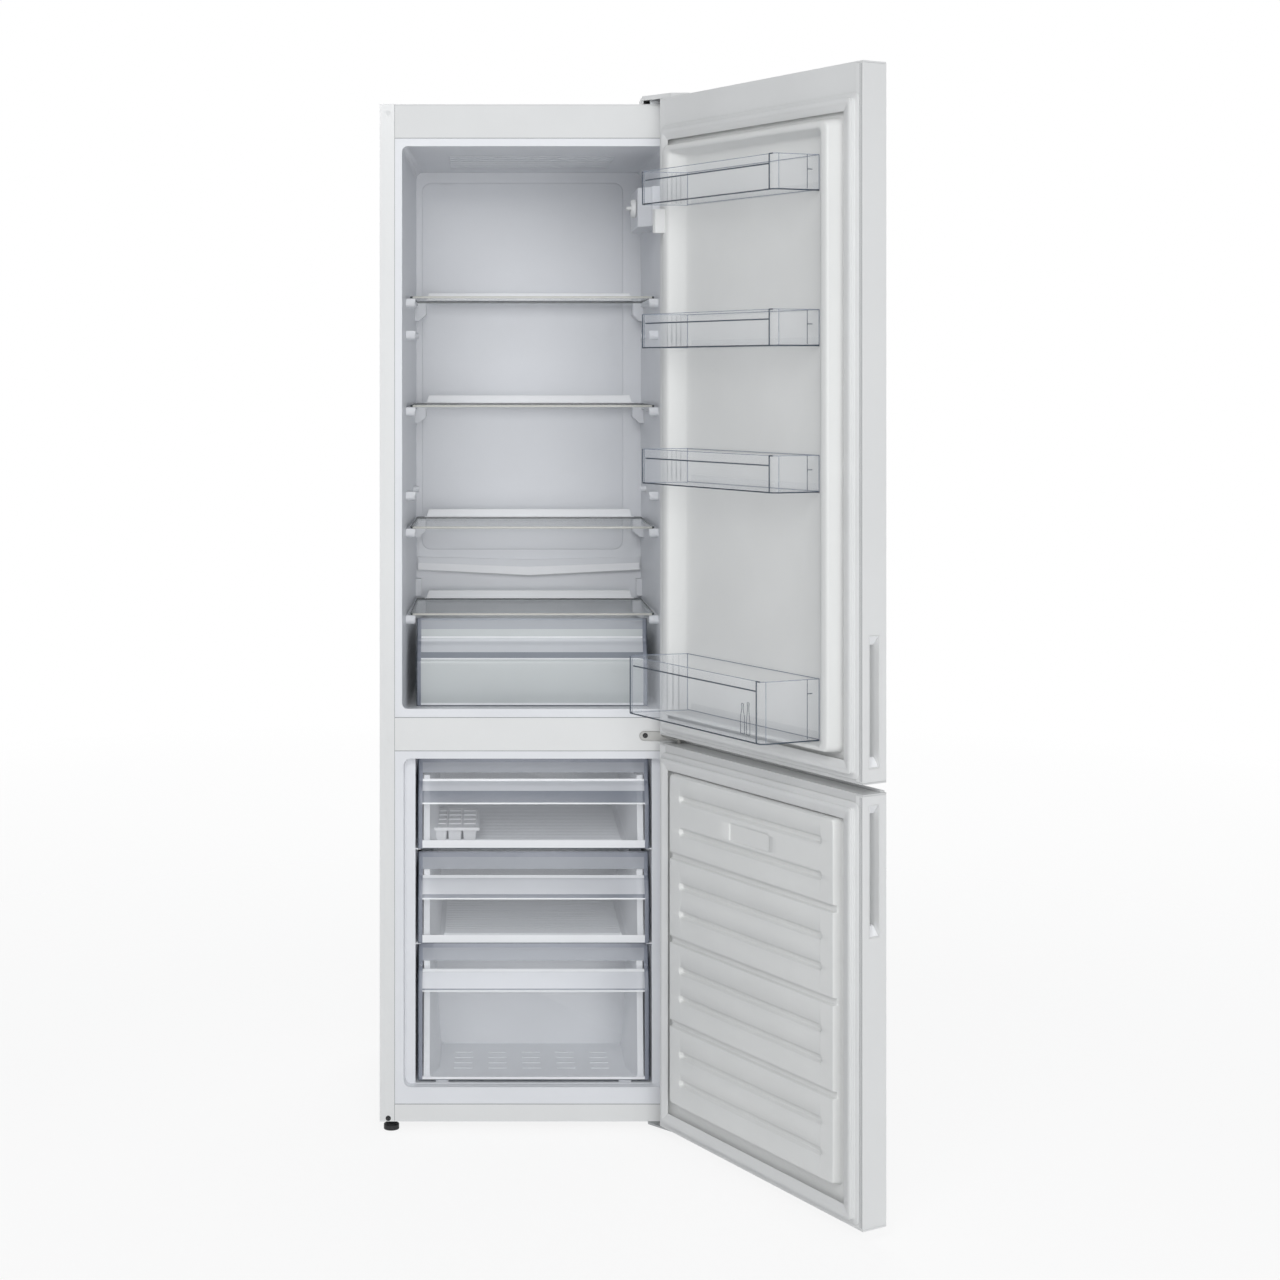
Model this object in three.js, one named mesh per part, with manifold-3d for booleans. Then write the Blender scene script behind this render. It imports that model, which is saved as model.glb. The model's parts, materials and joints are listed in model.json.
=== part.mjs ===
// A free-standing refrigerator with a bottom freezer, 54 cm wide and 180 cm high, with both doors open.
// Millimetres, +Z up, front towards -Y. The doors turn about vertical pins on the right-hand side (+X).
import * as THREE from 'three';
import { ConvexGeometry } from 'three/addons/geometries/ConvexGeometry.js';
import { mergeVertices } from 'three/addons/utils/BufferGeometryUtils.js';
import Module from 'manifold-3d';

const wasm = await Module();
wasm.setup();

// Driving dimensions of the cabinet. y = 0 is its front plane and z = 0 the floor.
const width = 540;
const height = 1800;
const depth = 507;
const footGap = 17.4;
const sheet = 1.2;
const gap = 0.3;
const linerWall = 2;
const flange = 26;
const barReturn = 12;
const doorGap = 12;
const doorThickness = 46;
const openAngle = 120;
const pinRadius = 4;

const halfWidth = width / 2;
const innerHalf = halfWidth - sheet;
const barHalf = halfWidth - flange - gap;
const doorBack = -doorGap;
const doorFront = -doorGap - doorThickness;
const pinX = halfWidth - 19;
const pinY = doorBack - 27;

// The front frame from the floor up: base bar, freezer mouth, crossbar, fridge mouth, top panel.
const baseBarHigh = 47.7;
const freezerOpening = { half: halfWidth - 41.6, low: baseBarHigh + 29.3, high: 653, corner: 12 };
const crossbarLow = freezerOpening.high + 13.8;
const crossbarHigh = crossbarLow + 58.1;
const fridgeOpening = { half: halfWidth - 39, low: crossbarHigh + 15.1, high: height - 74, corner: 9 };
const topPanelLow = height - 60;

// The machine bay from the floor up: wheels, compressor tray, compressor, drip tray.
const wheelRadius = 15;
const trayLow = 2 * wheelRadius + 2;
const trayPlate = 2;
const compressorTall = 172;
const dripTrayTall = 22;
const bayFront = depth - 221;
const bayTop = trayLow + trayPlate + compressorTall + dripTrayTall + 2 * gap + 7.4;

// Insides: the fridge tapers towards its back wall, the freezer steps over the compressor bay.
const fridgeDepth = 424;
const fridgeBackHalf = fridgeOpening.half - 12.5;
const fridgeBackTop = fridgeOpening.high - 7;
const fridgeFloor = fridgeOpening.low - 14.1;
const sillDepth = 11;
const freezerHalf = freezerOpening.half - 20.4;
const freezerDepth = 420;
const freezerRebate = 16;
const freezerFloor = freezerOpening.low + 3;
const freezerStep = bayTop + 64;
const freezerStepDepth = bayFront - 51;

// Shelves by their top faces, the upper two set out from the ceiling and the lower two from the floor,
// and the spare support heights between them.
const shelfHeights = [
  fridgeOpening.high - 258.8, fridgeOpening.high - 455.1,
  fridgeOpening.low + 311.8, fridgeOpening.low + 155.3,
];
const spareHeights = [fridgeOpening.high - 321, fridgeOpening.low + 374];
const glass = 4;
const shelfFront = 113;
const shelfBack = fridgeDepth - 39;
const shelfFrontHalf = wallAt(shelfFront) - 7.1;
const shelfBackHalf = wallAt(shelfBack) - 3.05;

// Doors, each with the part of its back that the seal goes round, and the bins on the upper one.
const lowerDoor = doorPlace(footGap + 5.1, crossbarLow + 19.8, 5.5, 13.6);
const upperDoor = doorPlace(lowerDoor.high + 15.2, height + 4.2, 6.2, 47.2);
const handleLength = 203;
const upperHandleLow = upperDoor.low + 23.2;
const lowerHandleLow = lowerDoor.high - 16.6 - handleLength;
const smallBins = [[88, 57], [329, 58], [556, 59]].map(([drop, tall]) => (
  { low: upperDoor.sealHigh - drop - tall, high: upperDoor.sealHigh - drop }));
const smallBinProud = 85;
const bottleRack = { low: upperDoor.sealLow + 47.5, high: upperDoor.sealLow + 145 };
const bottleRackProud = 110;

function doorPlace(low, high, footBand, topBand) {
  return { low, high, sealLow: low + footBand, sealHigh: high - topBand };
}

const white = { color: 0xdfe1e1, roughness: 0.45, metalness: 0 };
const linerWhite = { color: 0xdadde0, roughness: 0.5, metalness: 0 };
const clear = { color: 0xc3ccd6, roughness: 0.15, metalness: 0 };
const glassGreen = { color: 0xc9d2d0, roughness: 0.1, metalness: 0 };
const black = { color: 0x141416, roughness: 0.6, metalness: 0 };
const steel = { color: 0x9a9da0, roughness: 0.4, metalness: 0.8 };
const darkSteel = { color: 0x1b1c1e, roughness: 0.5, metalness: 0.3 };
const foamYellow = { color: 0xd9c98f, roughness: 0.9, metalness: 0 };
const aluminium = { color: 0xb9bbbd, roughness: 0.4, metalness: 0.9 };
const sealWhite = { color: 0xd7d9d9, roughness: 0.7, metalness: 0 };

// --- Solids ---------------------------------------------------------------------------------

function solidOf(geometry) {
  const bare = geometry.clone();
  bare.deleteAttribute('normal');
  bare.deleteAttribute('uv');
  const merged = mergeVertices(bare, 1e-4);
  const mesh = new wasm.Mesh({
    numProp: 3,
    vertProperties: new Float32Array(merged.attributes.position.array),
    triVerts: Uint32Array.from(merged.index.array),
  });
  return new wasm.Manifold(mesh);
}

function geometryOf(solid) {
  const mesh = solid.getMesh();
  const geometry = new THREE.BufferGeometry();
  geometry.setAttribute('position', new THREE.BufferAttribute(mesh.vertProperties, 3));
  geometry.setIndex(new THREE.BufferAttribute(mesh.triVerts, 1));
  geometry.computeVertexNormals();
  return geometry;
}

function joined(...geometries) {
  return geometryOf(geometries.map(solidOf).reduce((whole, next) => whole.add(next)));
}

function cut(body, ...holes) {
  return geometryOf(holes.map(solidOf).reduce((whole, hole) => whole.subtract(hole), solidOf(body)));
}

// A box from its ranges in x, y and z.
function block([x0, x1], [y0, y1], [z0, z1]) {
  const geometry = new THREE.BoxGeometry(Math.abs(x1 - x0), Math.abs(y1 - y0), Math.abs(z1 - z0));
  return geometry.translate((x0 + x1) / 2, (y0 + y1) / 2, (z0 + z1) / 2);
}

function outlineShape(points) {
  return new THREE.Shape(points.map(([a, b]) => new THREE.Vector2(a, b)));
}

// Outlines drawn in two axes and drawn out along the third.
function prismZ(points, z0, z1) {
  const geometry = new THREE.ExtrudeGeometry(outlineShape(points), { depth: z1 - z0, bevelEnabled: false });
  return geometry.translate(0, 0, z0);
}

function prismX(points, x0, x1) {
  const geometry = new THREE.ExtrudeGeometry(outlineShape(points), { depth: x1 - x0, bevelEnabled: false });
  const turn = new THREE.Matrix4().makeBasis(
    new THREE.Vector3(0, 1, 0), new THREE.Vector3(0, 0, 1), new THREE.Vector3(1, 0, 0));
  return geometry.applyMatrix4(turn).translate(x0, 0, 0);
}

function prismY(points, y0, y1) {
  const geometry = new THREE.ExtrudeGeometry(outlineShape(points), { depth: y1 - y0, bevelEnabled: false });
  const turn = new THREE.Matrix4().makeBasis(
    new THREE.Vector3(1, 0, 0), new THREE.Vector3(0, 0, 1), new THREE.Vector3(0, -1, 0));
  return geometry.applyMatrix4(turn).translate(0, y1, 0);
}

function mirrored(points) {
  return points.map(([x, other]) => [-x, other]);
}

function hullOf(points) {
  return new ConvexGeometry(points);
}

// A cylinder along x, y or z, by its centre.
function cylinder(axis, radius, length, [x, y, z], sides = 20) {
  const geometry = new THREE.CylinderGeometry(radius, radius, length, sides);
  if (axis === 'x') geometry.rotateZ(Math.PI / 2);
  if (axis === 'z') geometry.rotateX(Math.PI / 2);
  return geometry.translate(x, y, z);
}

// A rectangle with round corners in the xz plane, at one depth.
function rectLoop(half, low, high, corner, y, steps = 3) {
  const points = [];
  const centres = [
    [half - corner, high - corner, 0], [corner - half, high - corner, 1],
    [corner - half, low + corner, 2], [half - corner, low + corner, 3],
  ];
  for (const [x, z, quarter] of centres) {
    for (let step = 0; step <= steps; step += 1) {
      const angle = (quarter + step / steps) * Math.PI / 2;
      points.push(new THREE.Vector3(x + corner * Math.cos(angle), y, z + corner * Math.sin(angle)));
    }
  }
  return points;
}

const fridge = new THREE.Group();

function add(parent, name, geometry, look) {
  const mesh = new THREE.Mesh(geometry, new THREE.MeshStandardMaterial(look));
  mesh.name = name;
  parent.add(mesh);
  return mesh;
}

// --- Cabinet shell --------------------------------------------------------------------------

// A bent sheet: front flange, side and rear return in one piece.
function sidePanel(side) {
  const frontEdge = halfWidth - flange;
  const rearEdge = halfWidth - 14;
  const section = [
    [frontEdge, 0], [halfWidth, 0], [halfWidth, depth], [rearEdge, depth],
    [rearEdge, depth - sheet], [innerHalf, depth - sheet], [innerHalf, sheet], [frontEdge, sheet],
  ];
  return prismZ(side > 0 ? section : mirrored(section), footGap, height);
}

// A front bar of bent sheet, with a return at its top and one at its foot.
function frontBar(low, high, topReturn, footReturn) {
  const section = [
    [0, low], [footReturn, low], [footReturn, low + sheet], [sheet, low + sheet],
    [sheet, high - sheet], [topReturn, high - sheet], [topReturn, high], [0, high],
  ];
  return prismX(section, -barHalf, barHalf);
}

// The lowest bar. Its foot return runs out behind the side flanges, over both front feet.
function baseBar() {
  const footReturn = 34;
  const seat = block([gap - innerHalf, innerHalf - gap], [sheet + gap, footReturn],
    [footGap, footGap + sheet]);
  return joined(frontBar(footGap, baseBarHigh, barReturn, footReturn), seat);
}

function floorPanel() {
  const floorTop = baseBarHigh - 5.5;
  const section = [
    [barReturn + 1, floorTop - sheet], [bayFront + sheet, floorTop - sheet],
    [bayFront + sheet, bayTop - sheet], [depth - 4, bayTop - sheet],
    [depth - 4, bayTop], [bayFront, bayTop], [bayFront, floorTop], [barReturn + 1, floorTop],
  ];
  return prismX(section, -innerHalf + gap, innerHalf - gap);
}

// The fridge's inside, grown by a wall thickness where that is asked for.
function fridgeCavity(grow) {
  const { half, low, high, corner } = fridgeOpening;
  const front = rectLoop(half + grow, low - grow, high + grow, corner + grow, grow > 0 ? sheet : -1);
  const back = rectLoop(fridgeBackHalf + grow, low - grow, fridgeBackTop + grow, 14 + grow,
    fridgeDepth + grow);
  const well = hullOf([
    ...rectLoop(half - 1 + grow, fridgeFloor - grow, low + 60, 6 + grow, sillDepth - grow),
    ...rectLoop(fridgeBackHalf + grow, fridgeFloor - grow, low + 60, 6 + grow, fridgeDepth + grow),
  ]);
  return joined(hullOf([...front, ...back]), well);
}

function wallAt(y) {
  return fridgeOpening.half + (fridgeBackHalf - fridgeOpening.half) * (y / fridgeDepth);
}

// What carries a shelf on one side wall: a front knob, a rail and a rear corner bracket.
function shelfSupport(side, top, withBracket) {
  const knobProud = fridgeOpening.half - 20;
  const knobFront = shelfFront + 4;
  const railProud = fridgeOpening.half - 16.5;
  const bracketProud = fridgeBackHalf - 19.5;
  const bracketFront = fridgeDepth - 52;
  const knobRoot = wallAt(knobFront) + 1;
  const knob = [
    [knobProud, knobFront, top], [knobProud, knobFront + 14, top],
    [knobProud, knobFront, top - 5], [knobProud, knobFront + 14, top - 5],
    [knobRoot, knobFront - 2, top], [knobRoot, knobFront + 16, top],
    [knobRoot, knobFront - 2, top - 13], [knobRoot, knobFront + 16, top - 13],
  ];
  const parts = [hullOf(knob.map(([x, y, z]) => new THREE.Vector3(side * x, y, z)))];
  if (withBracket) {
    const rail = [[railProud, top], [wallAt(0), top], [wallAt(0), top - 14], [railProud, top - 6]];
    const section = rail.map(([x, z]) => [side * x, z]);
    parts.push(cut(prismY(section, knobFront + 10, fridgeDepth + 1), beyondWall(side)));
    const bracket = [[bracketProud, top], [fridgeBackHalf + 4, top], [fridgeBackHalf + 4, top - 34],
      [fridgeBackHalf - 6, top - 34], [bracketProud, top - 22]];
    parts.push(cut(prismY(bracket.map(([x, z]) => [side * x, z]), bracketFront, fridgeDepth + 1),
      beyondWall(side)));
  } else {
    parts.push(cut(cylinder('x', 6, 14, [side * fridgeBackHalf, fridgeDepth - 94, top - 6], 12),
      beyondWall(side)));
  }
  return parts;
}

// The space outside the liner's wall, which no support reaches into.
function beyondWall(side) {
  const out = linerWall / 2;
  const section = [[wallAt(0) + out, -5], [halfWidth, -5], [halfWidth, fridgeDepth + 20],
    [fridgeBackHalf + out, fridgeDepth + 20], [fridgeBackHalf + out, fridgeDepth]];
  return prismZ(section.map(([x, y]) => [side * x, y]), 0, height);
}

// The shallow V on the back wall that leads melt water to the middle.
function dripChannel() {
  const half = fridgeBackHalf - 3;
  const proud = 6;
  const low = shelfHeights[3] + 39.7;
  const section = [[-half, low + 36], [0, low + 31], [half, low + 36], [half, low + 11], [0, low],
    [-half, low + 11]];
  return prismY(section, fridgeDepth - proud, fridgeDepth + 1);
}

function rearHolder(side) {
  const x = side * (fridgeBackHalf - 10);
  return block([x, side * (fridgeBackHalf + 1)], [fridgeDepth - 22, fridgeDepth + 1],
    [shelfHeights[3] + 2, shelfHeights[3] + 34.7]);
}

function fridgeLiner() {
  const face = block([-barHalf, barHalf], [gap, gap + linerWall], [crossbarHigh + gap, topPanelLow - gap]);
  const shell = cut(joined(face, fridgeCavity(linerWall)), fridgeCavity(0));
  const supports = [];
  for (const side of [-1, 1]) {
    for (const top of shelfHeights) supports.push(...shelfSupport(side, top - glass - gap, true));
    for (const top of spareHeights) supports.push(...shelfSupport(side, top, false));
    supports.push(rearHolder(side));
  }
  return joined(shell, dripChannel(), ...supports);
}

function freezerCavity(grow) {
  const { half, low, high, corner } = freezerOpening;
  const front = grow > 0 ? sheet : -1;
  const mouth = hullOf([
    ...rectLoop(half + grow, low - grow, high + grow, corner + grow, front),
    ...rectLoop(half - 2 + grow, low + 2 - grow, high - 1 + grow, corner + grow, freezerRebate + grow),
  ]);
  const upper = block([-freezerHalf - grow, freezerHalf + grow], [freezerRebate - 1, freezerDepth + grow],
    [freezerStep - grow, high - 0.5 + grow]);
  const lower = block([-freezerHalf - grow, freezerHalf + grow], [freezerRebate - 1, freezerStepDepth + grow],
    [freezerFloor - grow, freezerStep + 20]);
  return joined(mouth, upper, lower);
}

// Two full drawers share the room over the step, and a short one stands in front of it.
const drawerSidePlay = 4.4;
const drawerHalf = freezerHalf - drawerSidePlay;
const runnerReach = 2 * drawerSidePlay + 0.6;
const drawerFront = 14;
const drawerPlaces = drawersInFreezer();

function drawersInFreezer() {
  const between = 9.7;
  const top = freezerOpening.high - 4.2;
  const foot = freezerStep + 25.5;
  const tall = (top - between - foot) / 2;
  const length = freezerDepth - drawerFront - 18;
  return [
    { low: top - tall, high: top, length },
    { low: foot, high: foot + tall, length },
    { low: freezerFloor + 5, high: foot - 3.5, length: freezerStepDepth - drawerFront - 11 },
  ];
}

function freezerLiner() {
  const face = block([-barHalf, barHalf], [gap, gap + linerWall], [baseBarHigh + gap, crossbarLow - gap]);
  const shell = cut(joined(face, freezerCavity(linerWall)), freezerCavity(0));
  const runners = [];
  const runner = 2.6;
  for (const side of [-1, 1]) {
    for (const place of drawerPlaces.slice(0, 2)) {
      runners.push(block([side * (freezerHalf - runnerReach), side * (freezerHalf + 1)],
        [freezerRebate + 6, freezerDepth + 1],
        [place.low - gap - runner, place.low - gap]));
    }
    runners.push(block([side * (freezerHalf - 58), side * (freezerHalf - 36)],
      [freezerRebate + 6, freezerStepDepth + 1],
      [freezerFloor - 1, drawerPlaces[2].low - gap]));
  }
  return joined(shell, ...runners);
}

const evaporator = {
  half: fridgeBackHalf - 28.5, low: fridgeOpening.low + 220, high: fridgeOpening.high - 76, thickness: 2,
};

function evaporatorPlate() {
  const y = fridgeDepth + linerWall + gap;
  const plate = block([-evaporator.half, evaporator.half], [y, y + evaporator.thickness],
    [evaporator.low, evaporator.high]);
  const channels = [];
  for (let z = evaporator.low + 50; z < evaporator.high - 40; z += 90) {
    channels.push(cylinder('x', 3.5, 2 * evaporator.half - 40, [0, y + 3.5, z], 8));
  }
  return joined(plate, ...channels);
}

function cabinetFoam() {
  const side = innerHalf - gap;
  const whole = block([-side, side], [barReturn + 1, depth - 4], [baseBarHigh - 5.2, height - 2.8]);
  const bay = block([-halfWidth, halfWidth], [bayFront - gap, depth], [0, bayTop + gap]);
  const y = fridgeDepth + linerWall;
  const plate = block([-evaporator.half - 2, evaporator.half + 2], [y - 1, y + 8],
    [evaporator.low - 2, evaporator.high + 2]);
  return cut(whole, bay, fridgeCavity(linerWall + gap), freezerCavity(linerWall + gap), plate);
}

function addCabinet() {
  add(fridge, 'left_side_panel', sidePanel(-1), white);
  add(fridge, 'right_side_panel', sidePanel(1), white);
  add(fridge, 'top_cover', block([gap - innerHalf, innerHalf - gap], [sheet + gap, depth - sheet - gap],
    [height - 2.4, height - 0.4]), white);
  add(fridge, 'top_front_panel', frontBar(topPanelLow, height - 2.7, barReturn, barReturn), white);
  add(fridge, 'middle_crossbar', frontBar(crossbarLow, crossbarHigh, 8, barReturn), white);
  add(fridge, 'base_crossbar', baseBar(), white);
  add(fridge, 'back_panel', block([gap - innerHalf, innerHalf - gap], [depth - 3.5, depth - 2],
    [bayTop + gap, height - 2.8]), white);
  add(fridge, 'floor_panel', floorPanel(), steel);
  add(fridge, 'cabinet_foam', cabinetFoam(), foamYellow);
  add(fridge, 'fridge_liner', fridgeLiner(), linerWhite);
  add(fridge, 'freezer_liner', freezerLiner(), linerWhite);
  add(fridge, 'evaporator', evaporatorPlate(), aluminium);
}

// --- Underside and machine bay --------------------------------------------------------------

const footX = halfWidth - 20;
const footY = 17;
const wheelX = halfWidth - 34;
const wheelY = depth - 39;
const axleRadius = 3;
const compressorPlace = { x: -60, y: depth - 111, base: trayLow + trayPlate + gap };

function frontFoot(x) {
  const profile = [[0, 0], [13.5, 0], [13.5, 8], [9, 11], [5, 11], [5, footGap - gap], [0, footGap - gap]];
  const foot = new THREE.LatheGeometry(profile.map(([r, z]) => new THREE.Vector2(r, z)), 24);
  return foot.rotateX(Math.PI / 2).translate(x, footY, 0);
}

function rearWheel(x) {
  const bore = axleRadius / Math.cos(Math.PI / 16) + 0.06;
  const tyre = cylinder('x', wheelRadius, 12, [x, wheelY, wheelRadius], 32);
  return cut(tyre, cylinder('x', bore, 20, [x, wheelY, wheelRadius], 16));
}

// A steel plate across the bay, with a fork and a fixed axle for each rear wheel.
function compressorTray() {
  const half = innerHalf - gap;
  const parts = [block([-half, half], [bayFront + 4, depth - 6], [trayLow, trayLow + trayPlate])];
  for (const side of [-1, 1]) {
    const x = side * wheelX;
    for (const cheek of [x - 9, x + 9]) {
      parts.push(block([cheek - 1, cheek + 1], [wheelY - 12, wheelY + 12], [wheelRadius - 8, trayLow + 1]));
    }
    parts.push(cylinder('x', axleRadius, 20, [x, wheelY, wheelRadius], 16));
  }
  return joined(...parts);
}

function compressor() {
  const { x, y, base } = compressorPlace;
  const tall = compressorTall;
  const profile = [
    [0, 14], [66, 14], [76, 30], [78, tall - 88], [76, tall - 80],
    [76, tall - 42], [60, tall - 14], [34, tall - 2], [0, tall],
  ];
  const shell = new THREE.LatheGeometry(profile.map(([r, z]) => new THREE.Vector2(r, z)), 32);
  shell.rotateX(Math.PI / 2).translate(x, y, base);
  const parts = [shell];
  const legReach = 58;
  for (const dx of [-legReach, legReach]) {
    for (const dy of [-legReach, legReach]) parts.push(cylinder('z', 11, 18, [x + dx, y + dy, base + 9], 12));
  }
  const plateReach = legReach + 10;
  parts.push(block([x - plateReach, x + plateReach], [y - plateReach, y + plateReach],
    [base + 12, base + 18]));
  parts.push(block([x + 66, x + 100], [y - 26, y + 24], [base + 55, base + 115]));
  return joined(...parts);
}

// An open tray on the compressor's warm top, where the melt water dries off.
function dripTray() {
  const { x, y, base } = compressorPlace;
  const low = base + compressorTall + gap;
  const wall = 2;
  const outer = block([x - 60, x + 60], [y - 56, y + 54], [low, low + dripTrayTall]);
  return cut(outer, block([x - 60 + wall, x + 60 - wall], [y - 56 + wall, y + 54 - wall],
    [low + wall, low + dripTrayTall + 1]));
}

// One tube wound to and fro across the back, held by two flat straps.
function condenser() {
  const half = halfWidth - 65;
  const low = bayTop + 64;
  const high = height - 140;
  const runs = 18;
  const tube = 2.6;
  const y = depth + 18;
  const pitch = (high - low) / (runs - 1);
  const path = new THREE.CurvePath();
  for (let run = 0; run < runs; run += 1) {
    const z = low + run * pitch;
    const side = run % 2 === 0 ? 1 : -1;
    const start = new THREE.Vector3(-side * half, y, z);
    const end = new THREE.Vector3(side * half, y, z);
    path.add(new THREE.LineCurve3(start, end));
    if (run < runs - 1) path.add(new THREE.LineCurve3(end, new THREE.Vector3(side * half, y, z + pitch)));
  }
  const parts = path.curves.map((line) => {
    const middle = line.getPoint(0.5);
    const along = Math.abs(line.v2.x - line.v1.x) > 1 ? 'x' : 'z';
    return cylinder(along, tube, line.getLength() + 2 * tube, middle.toArray(), 8);
  });
  for (const x of [-150, 0, 150]) {
    parts.push(block([x - 8, x + 8], [y + tube - 0.6, y + tube + 1], [low - 12, high + 12]));
  }
  for (const x of [-150, 150]) {
    for (const z of [low + 20, (low + high) / 2, high - 20]) {
      parts.push(block([x - 6, x + 6], [depth - 2 + gap, y + tube], [z - 6, z + 6]));
    }
  }
  return joined(...parts);
}

function addMachineBay() {
  add(fridge, 'left_front_foot', frontFoot(-footX), black);
  add(fridge, 'right_front_foot', frontFoot(footX), black);
  add(fridge, 'left_rear_wheel', rearWheel(-wheelX), black);
  add(fridge, 'right_rear_wheel', rearWheel(wheelX), black);
  add(fridge, 'compressor_tray', compressorTray(), steel);
  add(fridge, 'compressor', compressor(), darkSteel);
  add(fridge, 'drip_tray', dripTray(), black);
  add(fridge, 'condenser', condenser(), darkSteel);
}

// --- Hinges and small front fittings --------------------------------------------------------

const hingePlate = 3;
const hingeEdge = halfWidth - 8;
const hingeTip = pinY - 8;

// A hinge arm's outline: square behind, and narrowing to the pin in front.
function hingeOutline(left, back, leftFront) {
  return [[left, back], [hingeEdge, back], [hingeEdge, hingeTip], [pinX - 9, hingeTip], [left, leftFront]];
}

function topHinge() {
  const low = upperDoor.high + 1.6;
  const left = halfWidth - 70;
  const plate = prismZ(hingeOutline(left, 60, -6), low, low + 2.5);
  const pedestal = block([left + 4, hingeEdge - 4], [8, 56], [height, low + 1]);
  const pin = cylinder('z', pinRadius, 16, [pinX, pinY, low - 6], 16);
  return joined(plate, pedestal, pin);
}

// A moulded cap over the top hinge. Its rim is cut short in front, where the door's top turns under it.
function topHingeCover() {
  const top = upperDoor.high + 8.8;
  const left = halfWidth - 80;
  const right = halfWidth - 2;
  const bend = halfWidth - 34;
  const tip = pinY - 13;
  const outer = [[left, 72], [left, -3], [bend, tip], [right, tip], [right, 72]];
  const inner = [[left + 2, 70], [left + 2, -2.2], [bend + 1, tip + 2], [right - 2, tip + 2],
    [right - 2, 70]];
  const clearOfDoor = block([left - 40, right + 40], [tip - 28, -1], [height - 5, upperDoor.high + 1]);
  return cut(prismZ(outer, height + gap, top), prismZ(inner, height - 5, top - 1.6), clearOfDoor);
}

function middleHinge() {
  const face = block([halfWidth - 85, hingeEdge], [-gap - hingePlate, -gap],
    [lowerDoor.high - 1.6, upperDoor.low - 0.5]);
  const armLow = (upperDoor.low + lowerDoor.high) / 2 - hingePlate / 2;
  const armLeft = halfWidth - 48;
  const arm = prismZ([[armLeft, -gap], [hingeEdge, -gap], [hingeEdge, hingeTip], [pinX - 9, hingeTip]],
    armLow, armLow + hingePlate);
  const pin = cylinder('z', pinRadius, 44, [pinX, pinY, armLow + hingePlate / 2], 16);
  return joined(face, arm, pin);
}

function bottomHinge() {
  const low = footGap - 3.4;
  const plate = prismZ(hingeOutline(halfWidth - 70, 30, -4), low, low + hingePlate);
  const pin = cylinder('z', pinRadius, 22, [pinX, pinY, low + 11], 16);
  return cut(joined(plate, pin), cylinder('z', 6, 20, [footX, footY, low], 16));
}

function screwHead(x, z, y) {
  const profile = [[0, 0], [4.6, 0], [4.6, 1.2], [3, 2.4], [0, 2.8]];
  const head = new THREE.LatheGeometry(profile.map(([r, h]) => new THREE.Vector2(r, h)), 16);
  return head.rotateX(Math.PI).translate(x, 0, 0).translate(0, y, z);
}

function addFittings() {
  add(fridge, 'top_hinge', topHinge(), steel);
  add(fridge, 'top_hinge_cover', topHingeCover(), white);
  add(fridge, 'middle_hinge', middleHinge(), steel);
  add(fridge, 'bottom_hinge', bottomHinge(), steel);
  const screwZ = (lowerDoor.high + upperDoor.low) / 2 - 0.2;
  const edge = 15 - halfWidth;
  add(fridge, 'middle_hinge_screw', screwHead(halfWidth - 75, screwZ, -2 * gap - hingePlate), steel);
  add(fridge, 'foot_screw', screwHead(edge, footGap + 5.6, -gap), steel);
  const plugs = [[edge, height - 16], [edge, crossbarLow + 21.2],
    [edge + 27, crossbarLow + 28.2], [edge + 56, crossbarLow + 28.2]];
  plugs.forEach(([x, z], index) => add(fridge, `hole_plug_${index + 1}`, screwHead(x, z, -gap), white));
}

// --- Thermostat and lamp unit ---------------------------------------------------------------

const lampHigh = fridgeOpening.high - 64;
const lampLow = lampHigh - 70;
const knobCentre = [fridgeOpening.half - 42, 150, lampLow + 36];
const switchX = fridgeOpening.half - 10;
const switchZ = lampLow + 8;
const lugFront = 35;

function lampHousing() {
  const wall = (y) => wallAt(y) - 2 * gap;
  const half = fridgeOpening.half;
  const plan = [[wall(66), 66], [half - 18, 66], [half - 18, 84], [half - 41, 112], [half - 43, 262],
    [half - 34, 284], [wall(284), 284]];
  const body = prismZ(plan, lampLow, lampHigh);
  const switchBore = block([switchX - 4.5, switchX + 4.5], [60, 84], [switchZ - 4.5, switchZ + 4.5]);
  return cut(body, switchBore);
}

function thermostatKnob() {
  const profile = [[0, 0], [15, 0], [17, 2], [16, 9], [0, 10]];
  const knob = new THREE.LatheGeometry(profile.map(([r, h]) => new THREE.Vector2(r, h)), 24);
  const turned = knob.rotateZ(Math.PI / 2).translate(...knobCentre);
  const grip = block([knobCentre[0] - 18, knobCentre[0] - 8], [knobCentre[1] - 14, knobCentre[1] + 14],
    [knobCentre[2] - 3, knobCentre[2] + 3]);
  return joined(turned, grip);
}

function addLampUnit() {
  add(fridge, 'lamp_housing', lampHousing(), linerWhite);
  add(fridge, 'thermostat_knob', thermostatKnob(), white);
  add(fridge, 'lamp_switch', block([switchX - 4, switchX + 4], [lugFront + 2.5, 76],
    [switchZ - 4, switchZ + 4]), white);
}

// --- Shelves and drawers --------------------------------------------------------------------

// A tempered glass plate with a white bar along its rear edge that stops things touching the back wall.
function shelf(top) {
  const plate = prismZ([[-shelfFrontHalf, shelfFront], [shelfFrontHalf, shelfFront],
    [shelfBackHalf, shelfBack], [-shelfBackHalf, shelfBack]], top - glass, top);
  const upstandHalf = fridgeBackHalf - 20.5;
  const bar = prismY([[-upstandHalf, top - 1], [upstandHalf, top - 1],
    [upstandHalf - 5, top + 15], [5 - upstandHalf, top + 15]], shelfBack - 10, shelfBack - 1);
  return joined(plate, bar);
}

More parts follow.
